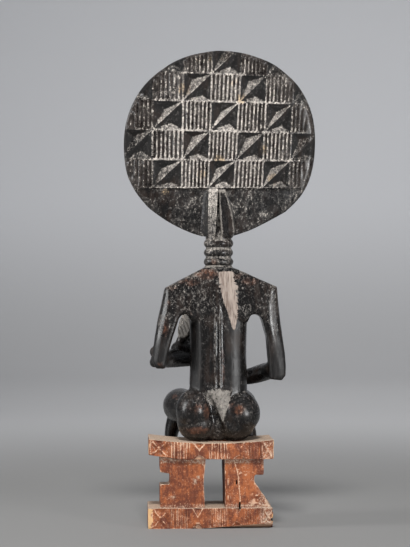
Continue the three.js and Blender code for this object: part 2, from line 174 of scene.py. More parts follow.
def thinned(mesh, triangles):
    now = sum(len(face.vertices) - 2 for face in mesh.polygons)
    if now <= triangles:
        return mesh
    return worked(mesh, ("TRIANGULATE", {}), ("DECIMATE", {"ratio": triangles / now}))


def sidesOf(face):
    return [tuple(sorted((face[i], face[(i + 1) % 3]))) for i in range(3)]


def halvedFace(face, mids):
    # A triangle split at the middles of its long sides, in the way its neighbours are
    halved = [i for i in range(3) if mids[i] is not None]
    if not halved:
        return [face]
    turn = halved[0]
    if len(halved) == 2 and mids[(turn + 1) % 3] is None:
        turn = halved[1]
    a, b, c = (face[(turn + i) % 3] for i in range(3))
    ab, bc, ca = (mids[(turn + i) % 3] for i in range(3))
    if len(halved) == 1:
        return [(a, ab, c), (ab, b, c)]
    if len(halved) == 2:
        return [(ab, b, bc), (a, ab, bc), (a, bc, c)]
    return [(a, ab, ca), (ab, b, bc), (ca, bc, c), (ab, bc, ca)]


def evened(mesh, longest, behind):
    # Long edges are halved until they are short enough, and shorter still where the surface looks back
    points = placesOf(mesh).tolist()
    faces = [tuple(face.vertices) for face in mesh.polygons]
    for _ in range(3):
        spots = np.array(points)
        corners = spots[np.array(faces)]
        across = np.cross(corners[:, 1] - corners[:, 0], corners[:, 2] - corners[:, 0])
        looksBack = across[:, 1] > 0.25 * np.linalg.norm(across, axis=1)
        limits = {}
        for face, back in zip(faces, looksBack):
            for side in sidesOf(face):
                limits[side] = min(limits.get(side, longest), behind if back else longest)
        sides = np.array(list(limits))
        lengths = np.linalg.norm(spots[sides[:, 0]] - spots[sides[:, 1]], axis=1)
        middles = {}
        for side in sides[lengths > np.array(list(limits.values()))].tolist():
            middles[tuple(side)] = len(points)
            points.append(((spots[side[0]] + spots[side[1]]) / 2).tolist())
        faces = [part for face in faces for part in halvedFace(face, [middles.get(s) for s in sidesOf(face)])]
    return meshOf(points, faces)


def placesOf(mesh):
    places = np.zeros(len(mesh.vertices) * 3)
    mesh.vertices.foreach_get("co", places)
    return places.reshape(-1, 3)


def rounded(mesh, voxel, passes, strength, triangles, longest, behind):
    # One skin over all the forms, smoothed and thinned, with points enough for the marks to sit on
    smoothing = {"iterations": passes, "factor": strength}
    skin = worked(mesh, ("REMESH", {"mode": "VOXEL", "voxel_size": voxel}), ("SMOOTH", smoothing))
    return evened(thinned(skin, triangles), longest, behind)


def centresOf(mesh):
    centres = np.zeros(len(mesh.polygons) * 3)
    mesh.polygons.foreach_get("center", centres)
    return centres.reshape(-1, 3)


def setPlaces(mesh, places):
    mesh.vertices.foreach_set("co", np.asarray(places, np.float32).ravel())
    mesh.update()


def normalsOf(mesh):
    normals = np.zeros(len(mesh.vertices) * 3)
    mesh.vertex_normals.foreach_get("vector", normals)
    return normals.reshape(-1, 3)


def turned(mesh, matrix):
    mesh.transform(matrix)
    return mesh


def report(stage, mesh):
    work = bmesh.new()
    work.from_mesh(mesh)
    triangles = sum(len(face.verts) - 2 for face in work.faces)
    openEdges = sum(not edge.is_manifold for edge in work.edges)
    print(f"{stage}: {triangles} triangles, {openEdges} open edges")
    work.free()


# Forms a carver works with
def ball(centre, radii, sides=36, rings=22):
    points = [[0, 0, -1]]
    for ring in range(1, rings):
        tilt = math.pi * ring / rings
        points += [[math.sin(tilt) * math.cos(a), math.sin(tilt) * math.sin(a), -math.cos(tilt)]
                   for a in spins(sides)]
    points.append([0, 0, 1])
    faces = [[0, 1 + (i + 1) % sides, 1 + i] for i in range(sides)]
    for ring in range(rings - 2):
        low, high = 1 + ring * sides, 1 + (ring + 1) * sides
        faces += [[low + i, low + (i + 1) % sides, high + (i + 1) % sides, high + i] for i in range(sides)]
    last = len(points) - 1
    faces += [[last, last - sides + i, last - sides + (i + 1) % sides] for i in range(sides)]
    return meshOf(np.array(points) * radii + centre, faces)


def curvePoint(points, share, even=False):
    # A smooth line through the points; "even" ignores how far apart they lie
    span = share * (len(points) - 1)
    low = min(int(span), len(points) - 2)
    t = span - low
    b, c = points[low], points[low + 1]
    if even:
        a, d = points[max(low - 1, 0)], points[min(low + 2, len(points) - 1)]
        startSlope, endSlope = (c - a) / 2, (d - b) / 2
    else:
        a = points[low - 1] if low else 2 * points[0] - points[1]
        d = points[low + 2] if low + 2 < len(points) else 2 * points[-1] - points[-2]
        gaps = [max(np.sum((q - p) ** 2) ** 0.25, 1e-4) for p, q in ((a, b), (b, c), (c, d))]
        startSlope = ((b - a) / gaps[0] - (c - a) / (gaps[0] + gaps[1]) + (c - b) / gaps[1]) * gaps[1]
        endSlope = ((c - b) / gaps[1] - (d - b) / (gaps[1] + gaps[2]) + (d - c) / gaps[2]) * gaps[1]
    return (b + startSlope * t + (-3 * b + 3 * c - 2 * startSlope - endSlope) * t ** 2
            + (2 * b - 2 * c + startSlope + endSlope) * t ** 3)


def limb(stations, across=(1, 0, 0), sides=28, steps=26, capRings=5, capReach=0.72):
    # A limb through stations [x, y, z, half width, half depth], rounded over at both ends
    stations = np.array(stations, float)
    across = np.array(across, float)
    line, girth = stations[:, :3], stations[:, 3:]
    rings = []
    for ring in range(-capRings, steps + capRings + 1):
        t = min(max(ring / steps, 0), 1)
        place = curvePoint(line, t)
        along = curvePoint(line, min(t + 1e-3, 1)) - curvePoint(line, max(t - 1e-3, 0))
        along /= np.linalg.norm(along)
        deepway = np.cross(along, across)
        deepway /= np.linalg.norm(deepway)
        sideway = np.cross(deepway, along)
        wide, deep = curvePoint(girth, t, even=True)
        beyond = (ring if ring < 0 else max(ring - steps, 0)) / capRings * math.pi / 2
        place = place + along * math.sin(beyond) * capReach * min(wide, deep)
        shrink = max(math.cos(beyond), 0.04)
        rings.append([place + sideway * math.cos(a) * wide * shrink + deepway * math.sin(a) * deep * shrink
                      for a in spins(sides)])
    return lofted(rings)


def lofted(rings):
    # Rings of the same count, walled between and closed by a flat face at each end
    sides = len(rings[0])
    faces = [list(range(sides))[::-1], [(len(rings) - 1) * sides + i for i in range(sides)]]
    for ring in range(len(rings) - 1):
        low, high = ring * sides, (ring + 1) * sides
        faces += [[low + i, low + (i + 1) % sides, high + (i + 1) % sides, high + i] for i in range(sides)]
    return meshOf(np.concatenate([np.array(ring, float) for ring in rings]), faces)


def lathed(x, profile, sides=48):
    # A round form about an upright line, by steps of (radius, height)
    return lofted([[[x + r * math.cos(a), r * math.sin(a), z] for a in spins(sides)] for r, z in profile])


def facets(points):
    # A form with flat sides: the hull of a few points
    work = bmesh.new()
    for p in points:
        work.verts.new(tuple(map(float, p)))
    bmesh.ops.convex_hull(work, input=work.verts)
    bmesh.ops.delete(work, geom=[v for v in work.verts if not v.link_faces], context="VERTS")
    mesh = bpy.data.meshes.new("facets")
    work.to_mesh(mesh)
    work.free()
    return facedOut(mesh)


def bowed(start, pull, end, steps=8):
    # Points of a bowed line, without its start
    start, pull, end = (np.array(p, float) for p in (start, pull, end))
    shares = np.arange(1, steps + 1) / steps
    return [(1 - t) ** 2 * start + 2 * t * (1 - t) * pull + t * t * end for t in shares]


def drawnIn(outline, inset):
    # The outline moved inwards
    points = np.array(outline, float)
    before, after = points - np.roll(points, 1, axis=0), np.roll(points, -1, axis=0) - points
    turn = np.sum(points[:, 0] * np.roll(points[:, 1], -1) - points[:, 1] * np.roll(points[:, 0], -1))
    side = 1 if turn > 0 else -1
    normals = [np.stack([-e[:, 1], e[:, 0]], 1) * side / np.maximum(np.linalg.norm(e, axis=1), 1e-9)[:, None]
               for e in (before, after)]
    middle = normals[0] + normals[1]
    reach = np.maximum(1 + np.sum(normals[0] * normals[1], axis=1), 0.5)
    return points + middle / reach[:, None] * inset


def slab(outline, depth, middle=0.0, profiles=None):
    # An outline in XZ with depth along Y. Its rim falls away, front and back, by steps of (in, down), which
    # may differ for her left and right; a third number with each point of the outline is its share of that
    outline = np.array([(*p, 1)[:3] for p in outline], float)
    inward = drawnIn(outline[:, :2], 1) - outline[:, :2]
    onLeft = outline[:, 0] > np.mean(outline[:, 0])
    rings = []
    for left, right in zip(*(profiles or ([(0, 0)], [(0, 0)]))):
        inset, drop = np.where(onLeft, np.array(left)[:, None], np.array(right)[:, None])
        shape = outline[:, :2] + inward * (inset * outline[:, 2])[:, None]
        rings.append(np.stack([shape[:, 0], depth / 2 - drop * outline[:, 2], shape[:, 1]], 1))
    front = [ring * (1, -1, 1) for ring in rings]
    return lofted([ring + (0, middle, 0) for ring in front + rings[::-1]])


# Node trees, for shapes and for finishes
class Wire:
    # One output of a node; sums with it add the nodes that work them out
    def __init__(self, bench, socket):
        self.bench, self.socket = bench, socket

    def maths(self, operation, *values):
        return self.bench.add("ShaderNodeMath", {"operation": operation}, dict(enumerate(values)))

    def __add__(self, other):
        return self.maths("ADD", self, other)

    def __sub__(self, other):
        return self.maths("SUBTRACT", self, other)

    def __rsub__(self, other):
        return self.maths("SUBTRACT", other, self)

    def __mul__(self, other):
        return self.maths("MULTIPLY", self, other)

    def __truediv__(self, other):
        return self.maths("DIVIDE", self, other)

    def __rtruediv__(self, other):
        return self.maths("DIVIDE", other, self)

    def __abs__(self):
        return self.maths("ABSOLUTE", self)

    __radd__, __rmul__ = __add__, __mul__

    def held(self):
        return self.bench.add("ShaderNodeClamp", {}, {0: self})

    def between(self, low, high):
        # 0 below low, 1 above high, eased in between
        return self.bench.add("ShaderNodeMapRange", {"interpolation_type": "SMOOTHSTEP"},
                              {0: self, 1: low, 2: high})


class Bench:
    # A node tree being wired up
    def __init__(self, tree):
        self.tree = tree

    def add(self, kind, settings=None, sockets=None, out=0):
        node = self.tree.nodes.new(kind)
        for key, value in (settings or {}).items():
            if key == "stops":
                elements = node.color_ramp.elements
                for element, (place, colour) in zip(elements, (value[0], value[-1])):
                    element.position, element.color = place, (*colour, 1)
                for place, colour in value[1:-1]:
                    elements.new(place).color = (*colour, 1)
            else:
                setattr(node, key, value)
        for key, value in (sockets or {}).items():
            if isinstance(value, Wire):
                self.tree.links.new(value.socket, node.inputs[key])
            else:
                node.inputs[key].default_value = value
        return Wire(self, node.outputs[out]) if len(node.outputs) else node

    def outputs(self, kind, names, settings=None, sockets=None):
        # Several outputs of one new node
        node = self.add(kind, settings, sockets).socket.node
        return [Wire(self, node.outputs[name]) for name in names]

    def mixed(self, share, one, other):
        one, other = [(*c, 1) if isinstance(c, tuple) else c for c in (one, other)]
        return self.add("ShaderNodeMix", {"data_type": "RGBA"}, {0: share, 6: one, 7: other}, 2)


def shapeTree(name, inputs):
    # A Geometry Nodes tree with named inputs: (name, kind, value) each
    tree = bpy.data.node_groups.new(name, "GeometryNodeTree")
    tree.interface.new_socket("Geometry", in_out="OUTPUT", socket_type="NodeSocketGeometry")
    tree.interface.new_socket("Geometry", in_out="INPUT", socket_type="NodeSocketGeometry")
    for label, kind, value in inputs:
        socket = tree.interface.new_socket(label, in_out="INPUT", socket_type="NodeSocket" + kind)
        if value is not None:
            socket.default_value = value
    bench = Bench(tree)
    entry = tree.nodes.new("NodeGroupInput")
    wires = {socket.name: Wire(bench, socket) for socket in entry.outputs if socket.name}
    return bench, wires


def finishTree(bench, geometry, material):
    real = bench.add("GeometryNodeRealizeInstances", {}, {"Geometry": geometry})
    painted = bench.add("GeometryNodeSetMaterial", {}, {"Geometry": real, "Material": material})
    end = bench.tree.nodes.new("NodeGroupOutput")
    bench.tree.links.new(painted.socket, end.inputs[0])


def grown(bench, values, start=None):
    # The plain mesh that a tree makes from these inputs
    holder = placed("holder", start or bpy.data.meshes.new("seed"))
    modifier = holder.modifiers.new("tree", "NODES")
    modifier.node_group = bench.tree
    for item in bench.tree.interface.items_tree:
        if item.item_type == "SOCKET" and item.in_out == "INPUT" and item.name in values:
            modifier[item.identifier] = values[item.name]
    holder.update_tag()
    return facedOut(settled(holder))


def along(bench, given, piece, step):
    # The piece on each point of a line, each a little larger or smaller than the last
    line = bench.add("GeometryNodeMeshLine", {"mode": "OFFSET"}, {"Count": given["Count"], "Offset": step})
    low, high = 1 - given["Unevenness"], 1 + given["Unevenness"]
    size = bench.add("FunctionNodeRandomValue", {"data_type": "FLOAT"},
                     {2: low, 3: high, "Seed": given["Seed"]}, 1)
    pieces = bench.add("GeometryNodeInstanceOnPoints", {}, {"Points": line, "Instance": piece, "Scale": size})
    finishTree(bench, pieces, given["Material"])


def rowTree():
    # Repeats the mesh it is given in a row
    bench, given = shapeTree("row", [
        ("Count", "Int", 4), ("Step", "Vector", (0, 0, 1)), ("Unevenness", "Float", 0.02), ("Seed", "Int", 1),
        ("Material", "Material", None)])
    along(bench, given, given["Geometry"], given["Step"])
    return bench


def inRow(mesh, start, count, step, unevenness, seed):
    row = grown(rows, {"Count": count, "Step": step, "Unevenness": unevenness, "Seed": seed,
                       "Material": darkFinish}, mesh)
    return turned(row, Matrix.Translation(start))


rows = rowTree()

# Finishes: black rubbed patina on the figure, red-brown wood on the stool
patina = {
    "black": (0.0062, 0.0057, 0.0056), "brownBlack": (0.019, 0.0128, 0.0102),
    "greyBlack": (0.036, 0.034, 0.033), "darkBrown": (0.026, 0.012, 0.009), "redBrown": (0.098, 0.036, 0.017),
    "tan": (0.22, 0.100, 0.042), "pale": (0.34, 0.283, 0.242), "grainLine": (0.13, 0.092, 0.075),
    "dust": (0.25, 0.228, 0.203), "dim": (0.15, 0.138, 0.128), "ridge": (0.63, 0.57, 0.505),
    "gold": (0.43, 0.31, 0.18), "groove": (0.036, 0.030, 0.027),
    "sheen": 0.24, "dustyRoughness": 0.80, "bumpDepth": 0.00030,
}

# A drying crack runs down the right column and over the base's edge: a filled line, by (height, across),
# with two open slits, each across, from, to and width
crack = {
    "line": [(15, -28), (25.8, -28.0), (29.4, -28.3), (41.2, -27.1), (49.8, -26.6), (57, -25.2),
             (64.2, -22.9), (70, -22.4)],
    "slits": [(-24.7, 41.8, 48.2, 1.3), (-27.8, 17.6, 26.4, 1.8)],
}
stoolWood = {
    "red": (0.235, 0.068, 0.026), "dark": (0.11, 0.032, 0.017), "orange": (0.35, 0.108, 0.036),
    "sand": (0.58, 0.39, 0.27), "worn": (0.60, 0.37, 0.18), "dust": (0.47, 0.385, 0.30),
    # hollow is the near-black colour of painted shade in the slot, under the seat, in the slits and in the
    # worm holes
    "dimDust": (0.22, 0.165, 0.12), "hollow": (0.010, 0.006, 0.005),
    "roughness": 0.64, "bumpDepth": 0.0004,
}


def stirred(mask, *noises):
    # A mask made ragged by noises, each with how far it swings
    for noise, swing in noises:
        mask = mask + (noise - 0.5) * swing
    return mask


def startFinish(name):
    material = bpy.data.materials.new(name)
    material.use_nodes = True
    material.node_tree.nodes.clear()
    bench = Bench(material.node_tree)
    place = bench.add("ShaderNodeTexCoord", out=3)

    def noise(size, detail=3.0, stretch=(1, 1, 1), roughness=0.55, shift=(0, 0, 0), turn=(0, 0, 0)):
        source = place
        if any(turn):
            source = bench.add("ShaderNodeMapping", {}, {"Vector": place, "Rotation": turn})
        moved = bench.add("ShaderNodeMapping", {}, {"Vector": source, "Scale": stretch, "Location": shift})
        return bench.add("ShaderNodeTexNoise", {}, {"Vector": moved, "Scale": 1 / size, "Detail": detail,
                                                    "Roughness": roughness})

    def mark(label):
        return bench.add("ShaderNodeAttribute", {"attribute_name": label}, out=2)

    upward = bench.add("ShaderNodeSeparateXYZ", {}, {0: bench.add("ShaderNodeNewGeometry", out=1)}, 2)
    return material, bench, noise, mark, upward


def endFinish(bench, colour, roughness, height, depth, shine):
    bump = bench.add("ShaderNodeBump", {}, {"Height": height, "Distance": depth, "Strength": 1.0})
    skin = bench.add("ShaderNodeBsdfPrincipled", {}, {
        "Base Color": colour, "Roughness": roughness, "Normal": bump, "Specular IOR Level": shine})
    bench.add("ShaderNodeOutputMaterial", {}, {"Surface": skin})


def patinaMaterial():
    p = patina
    material, bench, noise, mark, upward = startFinish("blackPatina")
    cloud = noise(0.026, 4.0)
    blotch = noise(0.006, 3.0, roughness=0.6, shift=(7, 3, 4))
    streak = noise(0.0045, 5.0, (1, 1, 0.14))
    hair = noise(0.0012, 3.0, (1, 1, 0.10), 0.6, (2, 5, 1))
    scratch = noise(0.0016, 2.0, (1, 1, 0.09), 0.5, turn=(0, 0.55, 0))
    fleck = noise(0.0023, 4.0, (1, 1, 0.7), 0.7)
    speck = noise(0.0011, 3.0, roughness=0.65, shift=(3, 1, 2))
    sprinkled, warm = mark("specks") * (1 - mark("dull") * 0.6), mark("warm")
    brown = (streak * 0.6 + cloud * 0.6).between(0.56, 0.78)
    colour = bench.mixed(brown, p["black"], p["brownBlack"])
    grey = (fleck * 0.6 + speck * 0.3 + blotch * 0.3 + sprinkled * 0.12).between(0.60, 0.80)
    colour = bench.mixed(grey, colour, p["greyBlack"])
    # Rubbed through to the wood, in ragged patches and along edges
    rubbed = stirred(mark("rubbed") * 1.1 + mark("edge") * 0.4, (blotch, 1.9), (fleck, 1.9), (speck, 0.9))
    rubbed = (rubbed - 0.66).between(-0.35, 0.85) * (mark("rubbed") + mark("edge")).held()
    wood = bench.mixed((fleck * 0.6 + blotch * 0.4).between(0.40, 0.60), p["darkBrown"], p["redBrown"])
    wood = bench.mixed((speck * 0.6 + fleck * 0.4).between(0.56, 0.70) * 0.6, wood, p["tan"])
    colour = bench.mixed(rubbed * 0.92, colour, wood)
    # The bare streak below the neck shows the grain
    pale = (stirred(mark("pale") * 1.3, (streak, 0.9), (fleck, 0.9)) - 0.5).between(0.0, 0.4)
    bare = bench.mixed((hair * 0.6 + streak * 0.4).between(0.36, 0.60), p["grainLine"], p["pale"])
    colour = bench.mixed(pale * 0.95, colour, bare)
    # Dust lies in hollows and on what faces up
    dust = stirred(mark("dusty") * (0.72 + upward * 0.45), (fleck, 1.5), (speck, 1.3), (blotch, 0.6))
    dust = (dust - 0.26).between(0.0, 0.6) * mark("dusty").between(0.0, 0.25)
    colour = bench.mixed(dust * 0.8, colour, p["dust"])
    # Worn crests of the knife work, and the facets below them painted lighter, for dust and as a painted
    # highlight; the nape's strip is a painted highlight
    darkened = mark("hatched") * (blotch * 0.5 + fleck * 0.5).between(0.30, 0.60)
    colour = bench.mixed(darkened, colour, p["groove"])
    toneAndHighlight = (fleck * 0.5 + speck * 0.5).between(0.44, 0.62) + mark("facet").between(1.0, 1.4) * 0.5
    paleAndHighlight = bench.mixed(toneAndHighlight, p["dim"], p["ridge"])
    golden = (stirred(warm, (blotch, 1.2), (fleck, 1.2)) - 0.35).between(0.0, 0.5) * warm.between(0.0, 0.3)
    paleAndHighlight = bench.mixed(golden * 0.6, paleAndHighlight, p["gold"])
    crest = mark("ridge").between(0.6, 0.95) * mark("wear") * 1.1
    crest = stirred(crest, (blotch, 1.3), (fleck, 1.2), (speck, 1.1)) - 0.40
    crest = crest.between(0.0, 0.55) * mark("ridge").between(0.5, 0.85)
    facet = stirred(mark("facet") * mark("wear") * 0.9, (blotch, 0.8), (fleck, 0.8), (speck, 0.8)) - 0.18
    facet = facet.between(0.0, 0.8) * mark("facet")
    colour = bench.mixed((crest + facet * 0.7).held(), colour, paleAndHighlight)
    # Specks of dust and paint, and fine scratches
    specks = (speck * 0.5 + fleck * 0.4 + blotch * 0.15 + sprinkled * 0.10).between(0.60, 0.76)
    specks = specks * (0.08 + sprinkled * 0.85)
    flecked = bench.mixed(fleck.between(0.5, 0.7), p["dust"], p["ridge"])
    colour = bench.mixed(specks.held(), colour, bench.mixed(golden, flecked, p["gold"]))
    scratches = (scratch * 0.8 + speck * 0.2).between(0.62, 0.70) * (sprinkled * 0.5).held()
    colour = bench.mixed(scratches, colour, p["dust"])
    matt = (dust + pale + rubbed * 0.45 + crest * 0.7 + facet * 0.6 + specks).held()
    roughness = stirred(p["sheen"], (cloud, 0.14), (streak, 0.22), (fleck, 0.18)) + sprinkled * 0.12
    roughness = roughness + matt * (p["dustyRoughness"] - p["sheen"]) + mark("dull") * 0.5
    height = streak * 0.4 + fleck * 0.35 + speck * 0.15 + noise(0.011, 2.0) * 1.0
    endFinish(bench, colour, roughness.held(), height, p["bumpDepth"], 0.38)
    return material


def stoolMaterial():
    w = stoolWood
    material, bench, noise, mark, upward = startFinish("stoolWood")
    cloud = noise(0.016, 4.0, (1, 1, 1.2))
    streak = noise(0.0042, 5.0, (0.3, 1, 1))
    upright = noise(0.0026, 4.0, (1, 1, 0.25), shift=(5, 2, 1))
    fleck = noise(0.0018, 4.0, roughness=0.7)
    speck = noise(0.0010, 3.0, roughness=0.65, shift=(3, 1, 2))
    place = bench.add("ShaderNodeTexCoord", out=3)
    parts = bench.outputs("ShaderNodeSeparateXYZ", "XYZ", {}, {0: place})
    x, y, z = (wire * (1 / millimetre) for wire in parts)
    reddened = (cloud * 0.6 + fleck * 0.3 + upright * 0.3).between(0.46, 0.72)
    colour = bench.mixed(reddened, w["dark"], w["red"])
    glow = (streak * 0.3 + cloud * 0.4 + upright * 0.4 + fleck * 0.2).between(0.60, 0.78)
    colour = bench.mixed(glow * 0.8, colour, w["orange"])
    edge = (stirred(mark("edge"), (fleck, 1.4), (cloud, 1.5)) - 0.45).between(0.0, 0.5)
    colour = bench.mixed(edge * 0.7, colour, w["sand"])
    carved = stirred(mark("carved") * 1.3, (fleck, 1.7), (speck, 1.2), (cloud, 1.6)) - 0.52
    colour = bench.mixed(carved.between(0.0, 0.6) * 0.72, colour, w["sand"])
    dust = stirred(mark("dusty") * (0.66 + upward * 0.5), (fleck, 1.2), (speck, 0.8), (cloud, 0.8)) - 0.24
    dust = dust.between(0.0, 0.55) * mark("dusty").between(0.0, 0.2)
    crumbs = bench.mixed((fleck * 0.5 + speck * 0.5).between(0.40, 0.62), w["dimDust"], w["dust"])
    colour = bench.mixed(dust * 0.85, colour, crumbs)
    worn = (stirred(mark("worn"), (fleck, 0.7), (streak, 0.6)) - 0.42).between(0.0, 0.25)
    colour = bench.mixed(worn * 0.9, colour, w["worn"])
    # The filled crack is a pale ragged line down the back of the right column
    low, high = crack["line"][0][0], crack["line"][-1][0]
    stops = [((at - low) / (high - low), ((off + 30) / 10,) * 3) for at, off in crack["line"]]
    middle = bench.add("ShaderNodeValToRGB", {"stops": stops}, {0: (z - low) / (high - low)}) * 10.0 - 30.0
    off = abs(stirred(x - middle, (fleck, 1.6)))
    seam = (1 - off.between(0.2, 0.9)) * y.between(24.6, 25.2) * z.between(24.0, 27.0)
    seam = seam * (1 - z.between(66.0, 67.0))
    filling = (stirred(seam * 1.1, (speck, 2.4), (fleck, 2.8)) - 0.30).between(0.1, 0.6)
    colour = bench.mixed(filling * seam.between(0.0, 0.3) * 0.75, colour, w["sand"])
    specks = (speck * 0.6 + fleck * 0.6).between(0.67, 0.79) * 0.5
    colour = bench.mixed(specks, colour, w["sand"])
    pits = (1 - (speck * 0.5 + fleck * 0.6).between(0.34, 0.43)) * 0.6
    colour = bench.mixed(pits, colour, w["dark"])
    # Painted shade: the slot's sides, a painted shadow line under the seat, the slits and the worm holes go
    # towards near black
    colour = bench.mixed(stirred(mark("gap"), (speck, 0.3)).between(0.2, 0.8), colour, w["hollow"])
    roughness = stirred(w["roughness"], (fleck, 0.25)) + dust * 0.2
    height = streak * 0.4 + upright * 0.3 + fleck * 0.6 + speck * 0.3 + cloud * 0.4
    endFinish(bench, colour, roughness.held(), height, w["bumpDepth"], 0.3)
    return material


darkFinish, stoolFinish = patinaMaterial(), stoolMaterial()
print("finishes wired")

# The disc head, with its chequer of grooved and chip-cut cells
disc = {
    "x": -9, "y": 9.5, "z": 381.6, "lean": 5.5, "roll": 1.8,
    "halfWidth": 95.6, "above": 90.3, "below": 93.4, "jawLow": -67,
    "leftJaw": 70, "leftNape": 15, "rightJaw": 68.5, "rightNape": 13, "fullness": 0.93,
    "front": 6.2, "back": 3.4, "bulge": 6.4, "rim": 3.6, "backRounding": 3.2,
}

# Column and row lines: where each crosses the disc's middle, and its slant in degrees
chequer = {
    "columns": [[97, 1.5], [67.2, 1.8], [37.4, 1.1], [10.7, 0], [-16.3, -1.3], [-43.4, -0.6], [-70.3, -0.5],
                [-98, 0]],
    "rows": [[96, 0], [67.6, 0.3], [40.3, -0.5], [11.2, -0.6], [-17.4, -1.3], [-45.3, -1.8], [-72, 0],
             [-102, 0]],
    "carvedRows": 5, "grooves": 7, "groovePlaces": [0, 0.15, 0.5, 0.85], "grooveDepth": 1.5,
    "pitDepth": 3.9, "plainDepth": 0.9, "upperPit": (0.35, 0.73), "lowerPit": (0.65, 0.21),
    "unsteady": 0.05, "shakes": [(5.1, 3.3), (2.7, 6.1), (4.3, 1.9), (6.7, 2.3)],
}


def backAt(x, y):
    return disc["back"] + disc["bulge"] * (1 - (x * x + y * y) / disc["halfWidth"] ** 2)


def lineAt(lines, at):
    # Offset and run of a chequer line, or of one in between, for numbers such as 2.25
    places = [place for place, slant in lines]
    runs = [math.tan(math.radians(slant)) for place, slant in lines]
    steps = np.arange(len(lines))
    return np.interp(at, steps, places), np.interp(at, steps, runs)


def crossing(column, row):
    atX, runX = lineAt(chequer["columns"], column)
    atY, runY = lineAt(chequer["rows"], row)
    y = (atY + runY * atX) / (1 - runX * runY)
    return atX + runX * y, y


def cellOf(x, y):
    # Column, row and the place in the cell: across from her left, and up from its foot
    found = []
    for lines, here, other in ((chequer["columns"], x, y), (chequer["rows"], y, x)):
        offset, run = lineAt(lines, np.arange(len(lines)))
        at = offset[None, :] + run[None, :] * other[:, None]
        index = np.clip(np.sum(at > here[:, None], axis=1) - 1, 0, len(lines) - 2)
        spots = np.arange(len(here))
        share = (at[spots, index] - here) / (at[spots, index] - at[spots, index + 1])
        found += [index, np.clip(share, 0, 1)]
    column, across, row, down = found
    return column, row, across, 1 - down


def discOutline(steps=40):
    d = disc
    half, jaw, foot = d["halfWidth"], d["jawLow"], -d["below"] - 1
    cheek = jaw + 21

    def bent(corners, count=14):
        a, b, c, e = (np.array(p, float) for p in corners)
        return [(1 - t) ** 3 * a + 3 * t * (1 - t) ** 2 * b + 3 * t * t * (1 - t) * c + t ** 3 * e
                for t in np.arange(1, count + 1) / count]

    points = []
    for turn in np.linspace(0, math.pi, 2 * steps + 1)[:-1]:
        full = 1 if turn < math.pi / 2 else d["fullness"]
        across = math.copysign(abs(math.cos(turn)) ** full, math.cos(turn))
        points.append(np.array([across * half, math.sin(turn) ** full * d["above"]]))
    points.append(np.array([-half, 0.0]))
    points += bent([points[-1], (-half, jaw / 2), (-d["rightJaw"] - 19.5, cheek - 3), (-d["rightJaw"], jaw)])
    points += bowed(points[-1], (-d["rightJaw"] + 30.5, jaw - 20.3), (-d["rightNape"], foot), 14)
    points.append(np.array([d["leftNape"], foot]))
    points += bowed(points[-1], (d["leftJaw"] - 25, jaw - 20), (d["leftJaw"], jaw), 14)
    points += bent([points[-1], (d["leftJaw"] + 18.5, cheek - 2.5), (half, jaw / 2), (half, 0)])[:-1]
    return np.array(points)


edgeLine = discOutline()


def fromEdge(x, y):
    # How far inside the outline a place is
    here = np.stack([x, y], 1)
    nearest = np.full(len(here), 1e9)
    inside = np.zeros(len(here), bool)
    for a, b in zip(edgeLine, np.roll(edgeLine, -1, axis=0)):
        side = b - a
        share = np.clip(((here - a) @ side) / (side @ side), 0, 1)
        nearest = np.minimum(nearest, np.linalg.norm(here - a - share[:, None] * side, axis=1))
        crosses = (a[1] > here[:, 1]) != (b[1] > here[:, 1])
        slope = (b[0] - a[0]) / (b[1] - a[1]) if abs(b[1] - a[1]) > 1e-9 else 0
        inside ^= crosses & (here[:, 0] < a[0] + (here[:, 1] - a[1]) * slope)
    return np.where(inside, nearest, -nearest)


